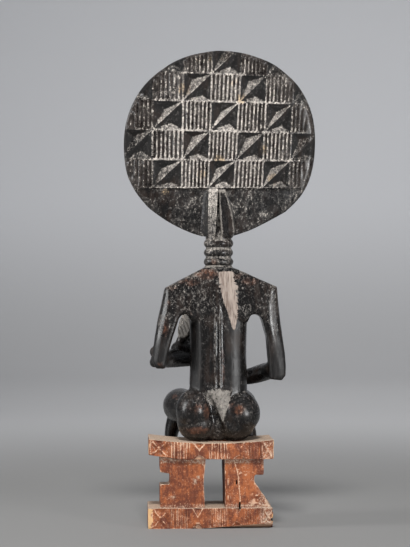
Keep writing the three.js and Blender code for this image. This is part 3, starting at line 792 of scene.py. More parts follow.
def carving(x, y):
    # Depth of the knife work at each place of the back, and which chip facets are painted lighter, for dust
    # and as a painted highlight
    c = chequer
    column, row, across, up = cellOf(x, y)
    inset = c["groovePlaces"][1] / c["grooves"]
    edge = fromEdge(x, y)
    onRight = smooth(-60, -82, x) * within(y, -52, -30, 40, 62)   # worn smooth at her right
    fade = smooth(1.0 + 4.5 * onRight, 6.0 + 7.0 * onRight, edge)
    carved = row < c["carvedRows"]
    chipped = carved & ((row + column) % 2 == 1)

    # Cells of upright grooves
    groove = np.minimum((across * c["grooves"]).astype(int), c["grooves"] - 1)
    phase = across * c["grooves"] - groove
    slope = np.clip(1 - np.abs(phase - 0.5) / (0.5 - c["groovePlaces"][1]), 0, 1)
    ends = np.clip(np.clip(np.minimum(up, 1 - up) / inset - 1, 0, 1.5) / 1.5, 0, 1)
    each = 1 + 0.3 * np.sin(groove * 12.9 + row * 78.2 + column * 37.7)
    unsteady = 1 + 0.25 * grain(np.stack([x, y, 0 * x], 1), 9, 3)
    hatchDepth = c["grooveDepth"] * slope * ends * each * unsteady

    # Cells of two chips, above and below the diagonal, each with three facets about its pit
    s = (across - inset) / (1 - 2 * inset)
    t = (up - inset) / (1 - 2 * inset)
    shake = c["unsteady"] * np.stack([np.sin(row * k + column * m) for k, m in c["shakes"]])
    upperX, upperY = c["upperPit"][0] + shake[0], c["upperPit"][1] + shake[1]
    lowerX, lowerY = c["lowerPit"][0] + shake[2], c["lowerPit"][1] + shake[3] * 0.6
    upperFacets = np.stack([s / upperX, (1 - t) / (1 - upperY), (t - s) / (upperY - upperX)])
    lowerFacets = np.stack([(1 - s) / (1 - lowerX), t / lowerY, (s - t) / (lowerX - lowerY)])
    upper, lower = np.clip(upperFacets.min(0), 0, 1), np.clip(lowerFacets.min(0), 0, 1)
    pitDepth = c["pitDepth"] * (1 + 0.12 * np.sin(row * 3.1 + column * 5.3))
    diagonal = np.clip(1 - np.abs(t - s) * 14, 0, 1) * (s * (1 - s) > 0)
    inCell = (s > 0) & (s < 1) & (t > 0) & (t < 1)
    chipDepth = np.where(inCell, np.where(t > s, upper, lower) * pitDepth + 0.3 * diagonal, 0)

    plainDepth = c["plainDepth"] * smooth(0, 0.05, 1 - up + (row - c["carvedRows"]))
    depth = np.where(carved, np.where(chipped, chipDepth, hatchDepth), plainDepth) * fade
    # The facets that look up are painted lighter: dust, and a painted highlight for the light from above
    lightUpper = (upperFacets.argmin(0) == 2) & (t > s)
    lightLower = (lowerFacets.argmin(0) == 1) & (t <= s) & (s > 0.27)
    paleAndHighlight = np.where(chipped & inCell & (lightUpper | lightLower), 1.0, 0.0)
    crest = np.where(chipped, np.clip(1 - np.abs(t - s) * 18, 0, 1) * inCell, 0)
    top = np.where(carved, np.maximum(1 - smooth(0.02, 0.3, depth), crest), 0)
    top = top * smooth(0.5 + 4 * onRight, 3.0 + 8 * onRight, edge)
    return {"depth": depth, "top": top, "bevel": onRight * smooth(13, 6, edge), "paleAndHighlight": paleAndHighlight,
            "dull": np.where(chipped & inCell, 1 - paleAndHighlight, 0), "hatched": carved & ~chipped,
            "edge": edge, "carved": carved, "row": row, "across": across}


def discBack():
    # A block whose rear face is the domed and carved back
    c = chequer
    cuts = [(i + place) / c["grooves"] for i in range(c["grooves"]) for place in c["groovePlaces"]]
    count = len(c["columns"]) - 1
    steps = np.array([cell + cut for cell in range(count) for cut in cuts] + [count])
    column, row = np.meshgrid(steps, steps)
    x, y = crossing(column.ravel(), row.ravel())
    flat = np.stack([x, y, 0 * x], 1)
    work = carving(x, y)
    # The knife wanders a little in the grooves
    wander = grain(flat * (0.35, 1, 1), 5, 5) * 0.22 * (work["row"] < c["carvedRows"])
    wander *= np.clip(np.minimum(work["across"], 1 - work["across"]) * 12 - 0.4, 0, 1)
    rounding = disc["backRounding"] + 3.0 * work["bevel"]
    near = np.clip(rounding - np.maximum(work["edge"], 0), 0, rounding) / rounding
    drop = rounding * (1 - np.sqrt(np.maximum(1 - near ** 2, 0)))
    rough = 0.10 * grain(flat, 6, 1) + 0.16 * grain(flat, 15, 2) - 0.2
    z = -(backAt(x, y) - work["depth"] - drop + rough)
    points = np.stack([x + wander, y, z], 1)
    grid = np.arange(len(points)).reshape(len(steps), -1)
    faces = []
    for high, low in zip(grid[:-1], grid[1:]):
        for a, b, d, e in zip(high, high[1:], low, low[1:]):
            faces += [[a, b, d], [b, e, d]]
    # Walls from the rim to a flat fan that closes the block
    rim = [*grid[0], *grid[1:, -1], *grid[-1, -2::-1], *grid[-2:0:-1, 0]]
    level = disc["front"] + 2
    low = [[*points[i][:2], level] for i in rim] + [[0, 0, level]]
    first, hub = len(points), len(points) + len(rim)
    for k in range(len(rim)):
        m = (k + 1) % len(rim)
        faces += [[rim[k], rim[m], first + m], [rim[k], first + m, first + k], [first + k, first + m, hub]]
    return meshOf(np.concatenate([points, np.array(low)]), faces)


def discRound():
    # The outline as a thick plate with a rounded front rim, a little uneven
    d = disc
    wave = 0.4 * grain(np.column_stack([edgeLine, 0 * edgeLine[:, 0]]), 14, 4) - 0.25
    shape = drawnIn(edgeLine, 0) + (drawnIn(edgeLine, 1) - edgeLine) * -wave[:, None]
    levels = [(-d["back"] - d["bulge"] - 1, 0), (0, 0)]
    for tilt in np.arange(1, 7) / 6 * math.pi / 2:
        levels.append((d["front"] - d["rim"] * (1 - math.sin(tilt)), d["rim"] * (1 - math.cos(tilt))))
    return lofted([np.column_stack([drawnIn(shape, inset), np.full(len(shape), z)]) for z, inset in levels])


# The nape: a ridged half cone up the back of the disc, with a cut along its middle
nape = {
    "heights": [-45.8, -49.4, -58.7, -70.8, -89.0, -94.2],
    "proud": [0.3, 4.4, 6.0, 8.2, 10.0, 8.8],
    "edges": [   # how far across, for each height
        [12.5, 14.0, 15.2, 16.2, 17.4, 15.2],           # outer edge on her left
        [9.0, 10.2, 10.0, 9.6, 9.0, 8.4],               # edge of the light facet
        [1.0, 1.1, 1.2, 1.5, 2.2, 2.4],                 # near side of the cut
        [0.3, 0.1, 0.0, -0.4, -1.0, -1.0],              # bottom of the cut
        [-0.6, -1.2, -1.6, -2.6, -4.6, -4.8],           # crest beyond it
        [-4.6, -6.2, -9.9, -13.8, -17.0, -15.0],        # ridge
        [-6.6, -8.4, -12.2, -16.0, -19.0, -16.2],       # outer edge on her right
    ],
    "stands": [-0.2, 0.42, 0.98, 0.56, 0.92, 0.84, -0.2],
    "lines": [(4, 1.2, 1.4), (5, 1.3, 1.3), (0, 1.4, 0.8), (2, 0.6, 0.6)],   # edge, width, strength
    # How bright the strip beside the cut is painted, a painted highlight, by height
    "stripHighlight": ([-92, -70, -50], [1.32, 1.22, 1.08]),
}


def napeEdge(which, y):
    return np.interp(y, nape["heights"][::-1], nape["edges"][which][::-1])


def napeForm():
    rings = []
    for y in [-45.8, -47.4, *np.linspace(-49.4, -92.0, 20), -94.2]:
        edges = [napeEdge(which, y) for which in range(len(nape["edges"]))]
        proud = np.interp(y, nape["heights"][::-1], nape["proud"][::-1])
        ring = []
        for a, b, high, low in zip(edges, edges[1:], nape["stands"], nape["stands"][1:]):
            for share in np.arange(6) / 6:
                ring.append([a + (b - a) * share, y, -backAt(0, y) - (high + (low - high) * share) * proud])
        ring.append([edges[-1], y, -backAt(0, y) - nape["stands"][-1] * proud])
        ring += [[ring[-1][0], y, 2], [ring[0][0], y, 2]]
        rings.append(ring)
    return lofted(rings)


def napeLines(x, y):
    # Where the light lines of the nape run, each nearest its full strength
    lines = 0
    for edge, wide, strength in nape["lines"]:
        lines = np.maximum(lines, smooth(wide, wide * 0.3, np.abs(x - napeEdge(edge, y))) * strength)
    return lines


# The face is plain and calm: joined brows, a long nose, narrow eyes, a small mouth
faceLines = {"brow": -22.5, "eyes": -35, "eyeSpread": 19, "noseTip": -59, "mouth": -69}


def onNape(local, clear):
    # Places low on the head that stand out from the disc's back
    x, y, z = local.T
    return (y < -40) & (z < -backAt(x, y) - clear)


def faceForms():
    f, skin = faceLines, disc["front"]
    forms, cuts = [], []
    for side in (1, -1):
        brow = [[side * 2.2, f["brow"] - 10, skin, 2, 2.4], [side * 12, f["brow"], skin, 2.2, 2.6],
                [side * 26, f["brow"] + 2.5, skin, 2.1, 2.4], [side * 39, f["brow"] - 4.5, skin, 1.6, 1.8]]
        forms.append(limb(brow, (0, 0, 1), 20, 24))
        forms.append(ball((side * f["eyeSpread"], f["eyes"], skin), (9.4, 4, 3.1)))
        slit = [(side * x, f["eyes"], skin + 2.6) for x in (11.5, 26.5)]
        cuts.append(groove(*slit, 1.6, 1.5, (0, 0, 1)))
    nose = [[0, -27, skin - 1, 2.0, 2.2], [0, -40, skin + 0.2, 2.6, 3.4], [0, -51, skin + 0.6, 4.0, 4.4],
            [0, f["noseTip"] + 3, skin + 0.4, 5.6, 4.6]]
    forms.append(limb(nose, (1, 0, 0), 20, 20, capReach=0.5))
    forms.append(ball((0, f["mouth"], skin), (8.4, 3.4, 3.5)))
    cuts.append(groove((-7, f["mouth"], skin + 3), (7, f["mouth"], skin + 3), 1.4, 1.5, (0, 0, 1)))
    skin = ("REMESH", {"mode": "VOXEL", "voxel_size": 0.75})
    softened = worked(piled(forms), skin, ("SMOOTH", {"iterations": 3}))
    return thinned(softened, 9000), piled(cuts)


def groove(start, end, width, depth, outward, rise=0.5):
    # The tool for a V groove between two places of a surface that looks outward
    start, end, outward = (np.array(p, float) for p in (start, end, outward))
    along = (end - start) / np.linalg.norm(end - start)
    across = np.cross(along, outward)
    wide, taper = width / 2 * (1 + rise / depth), depth * 0.9
    points = []
    for place, sign in ((start, 1), (end, -1)):
        points.append(place + along * sign * taper - outward * depth)
        high = place - along * sign * taper * rise / depth + outward * rise
        points += [high + across * wide, high - across * wide]
    return facets(points)


def headMesh():
    plate = combined(discBack(), discRound(), "INTERSECT")
    report("disc plate", plate)
    plate = combined(plate, napeForm(), "UNION")
    forms, cuts = faceForms()
    plate = combined(combined(plate, forms, "UNION"), cuts, "DIFFERENCE")
    return turned(plate, discPlace())


# Neck, trunk and limbs, carved round and rubbed smooth
neck = {"x": -8.1, "bottom": 258.2, "pitch": 9.1, "rings": 3, "reach": 14.7, "swell": 4.45, "core": 12.8,
        "unevenness": 0.01, "seed": 4}


def neckForms():
    n = neck
    bench, given = shapeTree("neckRings", [
        ("Count", "Int", 3), ("Pitch", "Float", 9.0), ("Reach", "Float", 15.0), ("Swell", "Float", 4.5),
        ("Unevenness", "Float", 0.02), ("Seed", "Int", 4), ("Material", "Material", None)])

    def circle(points, radius):
        return bench.add("GeometryNodeCurvePrimitiveCircle", {"mode": "RADIUS"},
                         {"Resolution": points, "Radius": radius})

    ring = bench.add("GeometryNodeCurveToMesh", {}, {
        "Curve": circle(64, given["Reach"] - given["Swell"]), "Profile Curve": circle(20, given["Swell"])})
    along(bench, given, ring, bench.add("ShaderNodeCombineXYZ", {}, {"Z": given["Pitch"]}))
    rings = grown(bench, {"Count": n["rings"], "Pitch": n["pitch"], "Reach": n["reach"], "Swell": n["swell"],
                          "Unevenness": n["unevenness"], "Seed": n["seed"], "Material": darkFinish})
    turned(rings, Matrix.Translation((n["x"], 0, n["bottom"] + n["pitch"] / 2)))
    low, top = n["bottom"], n["bottom"] + n["rings"] * n["pitch"]
    core = lathed(n["x"], [(0.1, low - 14), (15.8, low - 14), (14.6, low - 1), (n["core"], low + 1),
                           (n["core"], top + 9), (0.1, top + 9)])
    whole = combined(core, rings, "UNION")
    places = placesOf(whole)
    setPlaces(whole, places + normalsOf(whole) * (0.25 * grain(places, 4, 8))[:, None])
    return whole


trunk = {
    "x": -8, "spine": -6.3, "bottom": 112, "top": 234, "waist": 0.985,
    # The back of the section, from her left side to her right, and then its front
    "back": [(29.3, -4), (29, 2.0), (27.2, 6.2), (19.4, 15.5), (15.2, 16.5), (8, 16.7), (0, 16.7), (-8, 16.6),
             (-12.5, 16.6), (-15.5, 16.1), (-18, 15.3), (-20.6, 14.2), (-23, 12.8), (-25.4, 10.2),
             (-27.6, 6), (-28.9, 1), (-29.3, -4)],
    "front": [(-27.6, -10.5), (-21, -15.2), (-10, -17.2), (0, -17.4), (10, -17.2), (21, -15.2),
              (27.6, -10.5)],
    # Either side of the spine: how far out, depth, height, half width and half depth
    "ridges": [(2.3, 15.2, 126, 1.7, 2.7), (2.1, 15.7, 180, 1.6, 2.9), (1.8, 15.0, 216, 1.4, 2.8),
               (1.6, 12.6, 231, 1.2, 2.4)],
    "collar": [(15.8, 242), (15.6, 246.5), (14.4, 257.4), (12.4, 258.6)],
}
yoke = {"depth": 30, "middle": 1.8,
        # Steps (in, down) across the arms' outer sides: steep on her left, flatter on her right
        "profiles": ([(9.6, 0), (8.6, 0.3), (4.0, 3.9), (2.2, 5.8), (0.7, 8.4), (0, 11.5)],
                     [(11.4, 0), (10.4, 0.2), (3.4, 3.0), (1.8, 4.6), (0.5, 7.0), (0, 10)])}


def yokeOutline():
    # Each point with its share of the rounding: broad on the arms' outer sides, small on top and inside
    line = [(15.4, 256.5, 0.3), (34, 247, 0.3), (53.9, 236.5, 0.55), (57.4, 220, 0.85), (61, 204.5, 0.9)]
    line += [(*p, 0.88 - 0.05 * i) for i, p in enumerate(bowed((61, 204.5), (65, 182), (66, 163)))]
    line += [(62.4, 156.5, 0.4), (53.4, 156.5, 0.3), (50.6, 172, 0.3), (45.3, 189, 0.3), (40, 206, 0.3)]
    line += [(*p, 0.3) for p in bowed((40, 206), (37, 211.5), (32, 210.6))]
    line += [(27.4, 203, 0.7), (0, 202.5, 0.8), (-28.4, 202, 0.7), (-31.6, 209.5, 0.3)]
    line += [(*p, 0.3) for p in bowed((-31.6, 209.5), (-39, 212.5), (-42.8, 205.2))]
    line += [(-47.6, 188, 0.3), (-49.8, 166.5, 0.3), (-51, 146, 0.3), (-62.6, 144.6, 0.35),
             (-66.6, 149.5, 0.45), (-66.6, 160, 0.6), (-66, 172, 0.78), (-61.8, 201.5, 1), (-59.7, 220, 0.9),
             (-57.7, 237.8, 0.55), (-36, 247.2, 0.3), (-15.6, 256.5, 0.3)]
    return [(trunk["x"] + a, z, share) for a, z, share in line]


def trunkForms():
    t = trunk
    rings = []
    for share in np.linspace(0, 1, 14):
        height = t["bottom"] + (t["top"] - t["bottom"]) * share
        girth = t["waist"] + 0.02 * math.cos(2 * math.pi * share)
        sunk = 1 - 0.12 * smooth(196, 232, height)
        rings.append([[t["x"] + a * girth, b * sunk, height] for a, b in t["back"] + t["front"]])
    spine = [limb([[t["spine"] + side * off, *rest] for off, *rest in t["ridges"]], (1, 0, 0), 16, 30)
             for side in (1, -1)]
    forms = [lofted(rings), slab(yokeOutline(), yoke["depth"], yoke["middle"], yoke["profiles"]), *spine,
             lathed(neck["x"], t["collar"]), ball((t["x"], -11, 160), (24, 14, 26))]
    for side in (1, -1):
        forms.append(limb([[t["x"] + side * 14, -8, 222, 12, 12], [t["x"] + side * 15, -22, 217, 9.5, 9.5],
                           [t["x"] + side * 16, -35, 211, 4, 4]], (1, 0, 0), 24, 14))
    return forms


arms = {
    "left": [[49.6, -4, 165.5, 7, 9], [43, -22, 165, 9.4, 9.4], [27, -40, 164.5, 9, 9],
             [6, -50, 164, 7, 6.5]],
    "right": [[-64, -4, 155, 7, 10.5], [-57, -22, 151.5, 9, 10.6], [-42, -38, 146, 8.4, 8.6],
              [-24, -52, 143, 6.5, 7]],
    "leftFingers": [[9, -54, 168.6], [-7, -60, 168.6]],
    "rightFingers": [[-28, -55, 147.6], [-12, -61.5, 145.6]],
    "fingerPitch": 3.5, "fingerRadius": 1.85,
    "elbow": [[(56.6, -4, 172.6), (4, 6, 5)], [(56.6, -5, 162), (4.2, 6, 5)],
              [(55.5, 4, 166.5), (4.2, 5.5, 3.6)]],
}


def armForms():
    a = arms
    forms = [limb(a[side], (0, 0, 1)) for side in ("left", "right")]
    forms += [ball(centre, radii, 24, 14) for centre, radii in a["elbow"]]
    for seed, (start, end) in enumerate((a["leftFingers"], a["rightFingers"])):
        reach = np.array(end) - start
        joints = ((0 * reach, 1.2), (reach / 2 + (0, -1.2, 0), 1.1), (reach, 0.85))
        finger = [[*place, a["fingerRadius"], a["fingerRadius"] * deep] for place, deep in joints]
        finger = limb(finger, (0, 0, 1), 12, 8, 3)
        forms.append(inRow(finger, start, 4, (0, 0, -a["fingerPitch"]), 0.05, seed))
    return forms


legs = {"left": (1, 29, 38), "right": (-1, -32, -43.5)}   # side, knee and calf across
hips = [[(16.2, 5, 114.4), (18.6, 22, 22)], [(-28.9, 5, 112), (20.6, 22, 21.4)],
        [(-7, -3, 104), (33, 18, 22)], [(14, 3, 102.5), (19.5, 20.5, 19)],
        [(-25.5, 3, 102), (18.5, 20.5, 18.5)]]

# The flat wedge between the buttocks, below the trunk
wedge = [(2.5, 18.0, 136), (-20, 18.0, 136), (-11.3, 22.6, 103.2), (-7.5, 20.6, 131), (2.5, 0, 136),
         (-20, 0, 136), (-11.3, 0, 103)]


def legForms():
    forms = [ball(centre, radii, 48, 30) for centre, radii in hips] + [facets(wedge)]
    for side, knee, calf in legs.values():
        foot = knee - side * 4
        forms += [
            limb([[side * 12 - 7, 0, 112, 17, 17], [knee - side * 5, -24, 115, 17.4, 17.5],
                  [knee, -44, 116, 17.6, 17.6], [knee, -57, 115, 13.5, 13.5], [knee, -61, 114.5, 9, 9]],
                 sides=40, steps=30),
            limb([[knee + side * 3, -52, 106, 9.5, 9.5], [calf, -55, 84, 6.8, 8.5],
                  [calf - side * 3, -51, 52, 5.6, 6.5], [foot + side * 2, -46, 20, 5, 5.6],
                  [foot, -43, 9, 5.6, 7]]),
            limb([[foot, -32, 6.2, 6.5, 6.2], [foot, -50, 6, 7.2, 6], [foot, -66, 4.6, 7, 4.6]]),
        ]
    return forms


# The child lies across her lap, its small disc head raised in the crook of her left arm
child = {
    "head": (21.5, -42, 199), "headSize": (10.5, 16.5, 7), "turn": -50, "tip": 18,
    "hatchLines": 6, "hatchPitch": 4.3, "hatchSlant": 0.36,
    "limbs": [
        [[26.6, -42, 185, 5.4, 5.4], [28.5, -43, 178, 6, 6]],
        [[32, -40, 172.5, 9, 9], [16, -49, 171, 9.4, 9.4], [-2, -54, 166, 8.4, 8.4]],
        [[-2, -52, 168, 5.6, 5.6], [-14, -54, 170, 5, 5], [-23, -53, 163, 4.4, 4.4]],
        [[-23, -53, 164, 4.6, 4.6], [-29, -53, 152, 3.8, 3.8], [-33, -54, 140, 3.6, 3.6]],
        [[-2, -58, 162, 5.2, 5.2], [-12, -63, 160, 4.8, 4.8], [-20, -62, 152, 4.2, 4.2],
         [-22, -60, 138, 3.6, 3.6]],
        [[24, -51, 180, 3.4, 3.4], [12, -50, 186, 3, 3], [4, -40, 196, 2.6, 2.6]],
    ],
}


def childPlace():
    return (Matrix.Translation(child["head"]) @ Matrix.Rotation(math.pi / 2, 4, "X")
            @ Matrix.Rotation(math.radians(child["tip"]), 4, "Z")
            @ Matrix.Rotation(math.radians(child["turn"]), 4, "Y"))


def childForms():
    wide, high, thick = child["headSize"]
    rim = [(-thick / 2, 1.4), (-thick / 2 + 0.5, 0.5), (-thick / 2 + 1.6, 0), (thick / 2 - 1.6, 0),
           (thick / 2, 1.6)]
    rings = [[[(wide - inset) * math.cos(a), (high - inset) * math.sin(a), z] for a in spins(40)]
             for z, inset in rim]
    forms = [turned(lofted(rings), childPlace())]
    for number, stations in enumerate(child["limbs"]):
        across = (1, 0, 0) if number in (0, 3) else (0, 0, 1)
        forms.append(limb(stations, across, 22, 18))
    return forms


def childCuts():
    c = child
    pitch, slant, half = c["hatchPitch"], c["hatchSlant"], (c["hatchLines"] - 1) / 2
    line = groove((-7.5, -6, 0), (7.5, 6, 0), 2.1, 1.0, (0, 0, -1))
    start = (half * pitch * slant, -half * pitch, -c["headSize"][2] / 2)
    return turned(inRow(line, start, c["hatchLines"], (-pitch * slant, pitch, 0), 0.08, 6), childPlace())


# How finely each main form is worked, for "rounded"
fineness = {
    "figure": {"voxel": 1.15, "passes": 4, "strength": 0.5, "triangles": 39400, "longest": 8.0,
               "behind": 3.1},
    "frame": {"voxel": 0.85, "passes": 2, "strength": 0.4, "triangles": 7000, "longest": 9.0, "behind": 2.6},
}


def figureMesh():
    figure = rounded(piled(trunkForms() + armForms() + legForms() + childForms()), **fineness["figure"])
    report("figure", figure)
    places, normals = placesOf(figure), normalsOf(figure)
    slow = 0.22 * grain(places, 13, 6) + 0.08 * grain(places, 5, 7)   # the knife never leaves it quite even
    places += normals * slow[:, None]
    places[:, 2] = np.maximum(places[:, 2], 0)
    setPlaces(figure, places)
    figure = combined(figure, childCuts(), "DIFFERENCE")
    return combined(figure, neckForms(), "UNION")


# The stool: a dished seat and a base, held apart by a stepped frame with a slot through it
stool = {
    "left": 62.5, "right": -61.7, "depth": 60, "frameDepth": 52, "baseHeight": 20.3,
    "seatUnder": 67.3, "seatTipUnder": 72.4, "seatTopLeft": 88.5, "seatTopRight": 87.5, "seatDip": 80.2,
    "blockLeft": 50.9, "columnLeft": 41.1, "holeLeft": 6.8, "holeRight": -13, "columnRight": -42.5,
    "blockRight": -51.8, "notchTop": 54.6, "notchBottom": 43.6, "brokenTop": 44.4,
}

# The carved bands of each board's long sides, by their edges from her left
seatBands = {"motifs": ["cross", "hatch", "bow", "hatch", "bow", "hatch", "cross"],
             "edges": [60.6, 42.8, 21.6, 2.9, -18.2, -35.9, -49.7, -60.5], "pitch": 3.05, "depth": 0.9}
baseBands = {"motifs": ["cross", "hatch", "bow", "hatch", "bow", "hatch", "cross"],
             "edges": [58.5, 41.8, 22.1, 5.4, -17.2, -32, -50.6, -61], "pitch": 2.3, "depth": 0.7}
boardWear = {"rounding": 1.1, "uneven": 0.16, "rows": 11}


def seatTopAt(x):
    t = (stool["left"] - x) / (stool["left"] - stool["right"])
    left, dip, right = stool["seatTopLeft"], stool["seatDip"], stool["seatTopRight"]
    return left * (1 - t) ** 2 + 2 * dip * t * (1 - t) + right * t ** 2


def seatUnderAt(x):
    return np.where(x > 33, stool["seatUnder"] + 1 + (x - 33) * 0.145, stool["seatUnder"] + 0.6)


def frameForm():
    s = stool
    floor, half = s["baseHeight"] - 2, s["frameDepth"] / 2
    frameLine = [
        (s["blockLeft"], s["seatTipUnder"]), (s["blockLeft"], s["notchTop"] + 0.6),
        (s["columnLeft"], s["notchTop"] - 1), (s["columnLeft"], s["notchBottom"] - 6),
        (s["columnLeft"], floor),
        (s["right"] + 3.2, floor), (s["right"] + 2.2, floor + 4), (s["blockRight"] - 2.5, 28),
        (s["blockRight"] + 1.5, 35.2), (s["columnRight"] - 1, s["brokenTop"]),
        (s["columnRight"], s["brokenTop"] + 1), (s["columnRight"], s["notchTop"] - 2.7),
        (s["blockRight"], s["notchTop"] - 2.7), (s["blockRight"], s["seatTipUnder"] - 3)]
    hole = [(s["holeLeft"] - 1, 12), (s["holeLeft"] + 0.8, 44), (s["holeLeft"] - 1.6, 75),
            (s["holeRight"] + 0.6, 75), (s["holeRight"], 44), (s["holeRight"] - 0.5, 12)]
    # The lower step on her left falls away towards the front
    step = facets([(x, y, z) for y, top in ((half, s["notchBottom"]), (-half, s["notchBottom"] - 3.5))
                   for x in (s["blockLeft"], s["columnLeft"] - 3) for z in (16, top)])
    return combined(combined(slab(frameLine, s["frameDepth"]), step, "UNION"), slab(hole, s["depth"] + 10),
                    "DIFFERENCE")


def frameMesh():
    block = rounded(frameForm(), **fineness["frame"])
    places, normals = placesOf(block), normalsOf(block)
    # Old wear everywhere, and worm and rot at her right, where the lower step has broken off
    wear = 0.20 * grain(places, 9, 11) + 0.13 * grain(places, 3.6, 12) - 0.22
    eaten = smooth(-38, -47, places[:, 0]) * within(places[:, 2], 17, 24, 42, 48)
    wear -= eaten * (0.9 + 1.1 * grain(places, 5, 13) + 0.8 * grain(places, 2.4, 14))
    setPlaces(block, places + normals * wear[:, None])
    report("stool frame", block)
    return block


def bandWork(x, share, bands):
    # Depth and light lines of the carving, by x and by the share of the board's height
    depth, line = np.zeros(len(x)), np.zeros(len(x))
    v = share * 2 - 1
    for motif, left, right in zip(bands["motifs"], bands["edges"], bands["edges"][1:]):
        inside = (x <= left) & (x > right)
        u = (x - (left + right) / 2) / ((left - right) / 2)
        if motif == "hatch":
            count = max(int(round((left - right) / bands["pitch"])), 1)
            phase = (left - x) / (left - right) * count
            number = np.floor(phase)
            cut = np.clip(1 - np.abs(phase - number - 0.5) / 0.38, 0, 1)
            each = 0.8 + 0.3 * np.sin(number * 7.7 + left)
            thisDepth = bands["depth"] * cut * np.minimum(1 - np.abs(v), 0.16) / 0.16 * each
            thisLine = (1 - smooth(0.0, 0.3, cut)) * (0.62 + 0.34 * np.sin(number * 3.3 + left + v * 1.3))
        elif motif == "cross":
            # Four hollows about a slanting cross, like petals
            reach = np.maximum(np.abs(u), np.abs(v))
            across = np.minimum(np.abs(u), np.abs(v)) / np.maximum(reach, 1e-6)
            petal = np.minimum(np.minimum((1 - reach) / 0.3, (reach - 0.14) / 0.4), (0.86 - across) / 0.6)
            thisDepth = 1.25 * np.clip(petal, 0, 1)
            thisLine = (1 - smooth(0.0, 0.3, np.abs(petal))) * 0.8
            thisLine = np.maximum(thisLine, smooth(0.86, 0.92, reach) * 0.5)
        else:
            # A bow between a V cut from above and an arch cut from below
            top = (v - 0.12) / 0.88 - np.abs(u) / 0.62
            arch = (-v - 0.52) / 0.48 - (u / 0.62) ** 2
            thisDepth = 1.5 * np.clip(np.maximum(top / 0.6, arch / 0.6), 0, 1)
            lit = np.maximum(1 - smooth(0.08, 0.26, np.abs(top + 0.02)), smooth(0.0, 0.2, arch) * 0.9)
            thisLine = lit * (v < 0.98)
        depth = np.where(inside, thisDepth, depth)
        line = np.where(inside, thisLine, line)
    return depth, line


def boardMesh(left, right, lowAt, highAt, bands, lifted):
    # A board as a loft along X, with the carving cut into both of its long sides
    w = boardWear
    margins = [0, 0.35, 0.9, 1.6]
    stations = [left - d for d in margins]
    for motif, a, b in zip(bands["motifs"], bands["edges"], bands["edges"][1:]):
        if motif == "hatch":
            steps = np.arange(int(round((a - b) / bands["pitch"])) * 4)
            cuts = (steps // 4 + np.array([0.0, 0.12, 0.5, 0.88])[steps % 4]) / (len(steps) / 4)
        else:
            count = int((a - b) / 0.85)
            cuts = np.arange(count) / count
        stations += [a - (a - b) * cut for cut in cuts if left - 1.7 > a - (a - b) * cut > right + 1.7]
    stations += [right + d for d in margins[::-1]]
    rise = np.concatenate([[0, 0.022, 0.06], np.linspace(0.1, 0.9, w["rows"]), [0.94, 0.978, 1]])
    half = stool["depth"] / 2
    cross = half - half * 2 * np.concatenate([[0.007, 0.02], np.linspace(0.05, 0.95, 10), [0.98, 0.993]])
    rings, shares = [], []
    for x in stations:
        low, high = float(lowAt(x)), float(highAt(x))
        ring = [(half, low + (high - low) * t, t) for t in rise] + [(y, high, 1) for y in cross]
        ring += [(-half, low + (high - low) * t, t) for t in rise[::-1]] + [(y, low, 0) for y in cross[::-1]]
        rings.append([(x, y, z) for y, z, t in ring])
        shares.append([(t, high - low) for y, z, t in ring])
    places = np.array(rings).reshape(-1, 3)
    share, thick = np.array(shares).reshape(-1, 2).T
    x, y, z = places.T
    lows = z - share * thick
    highs = lows + thick
    # Rounded edges: each place goes out from a smaller block by the rounding, which wear makes uneven
    rounding = w["rounding"] * (1 + 0.5 * grain(places, 7, 31))
    rounding = np.clip(rounding + lifted * smooth(right + 12, right, x) * 1.2, 0.4, 3)
    core = np.stack([np.clip(x, right + rounding, left - rounding),
                     np.clip(y, rounding - half, half - rounding),
                     np.clip(z, lows + rounding, highs - rounding)], 1)
    outward = places - core
    outward /= np.linalg.norm(outward, axis=1)[:, None]
    wear = w["uneven"] * (grain(places, 8, 32) + 0.7 * grain(places, 3, 33)) - 0.2
    wear -= smooth(right + 7, right, x) * (0.5 + 0.6 * grain(places, 4, 34)) * (0.35 + lifted)
    places = core + outward * (rounding + wear)[:, None]
    places[:, 1] -= np.sign(y) * bandWork(x, share, bands)[0] * (np.abs(y) > half - 0.01)
    if lifted:
        # The underside is worn away towards her right, and stays flat elsewhere
        lift = np.clip((12 - x) / (12 - right), 0, 1) * np.clip((y - 22) / 8, 0, 1) * 5.6
        places[:, 2] = np.where(z < 0.01, 0, places[:, 2])
        places[:, 2] = np.maximum(places[:, 2] + lift * np.clip(1 - z / 12, 0, 1), 0)
    board = lofted(places.reshape(-1, len(rings[0]), 3))
    report("stool board", board)
    return board


def stoolMesh():
    s = stool
    seat = boardMesh(s["left"], s["right"], seatUnderAt, seatTopAt, seatBands, 0)
    base = boardMesh(s["left"] + 0.5, s["right"], lambda x: 0, lambda x: s["baseHeight"], baseBands, 1)
    whole = combined(combined(frameMesh(), seat, "UNION"), base, "UNION")
    for centre, radii in wormHoles:
        whole = combined(whole, ball(centre, radii, 14, 9), "DIFFERENCE")
    for x, low, high, wide in crack["slits"]:
        tool = facets([(x + a * wide / 2, y, z) for a in (-1, 1) for y, spread in ((20, 0), (33, 1))
                       for z in (low + 1.5 * (1 - spread), high - 1.5 * (1 - spread))])
        whole = combined(whole, tool, "DIFFERENCE")
    return whole


wormHoles = [((-51.8, 25, 36.3), (1.3, 4, 1.6)), ((-61, 28, 17.6), (1.4, 4, 1.7)),
             ((-60.5, 28.5, 8.6), (2.2, 4, 1.3)), ((-56.5, 22, 30.5), (1.6, 4, 1.2)),
             ((-58.8, 27, 23.2), (1.2, 5, 1.0))]

# Marks for the finishes, kept on the mesh

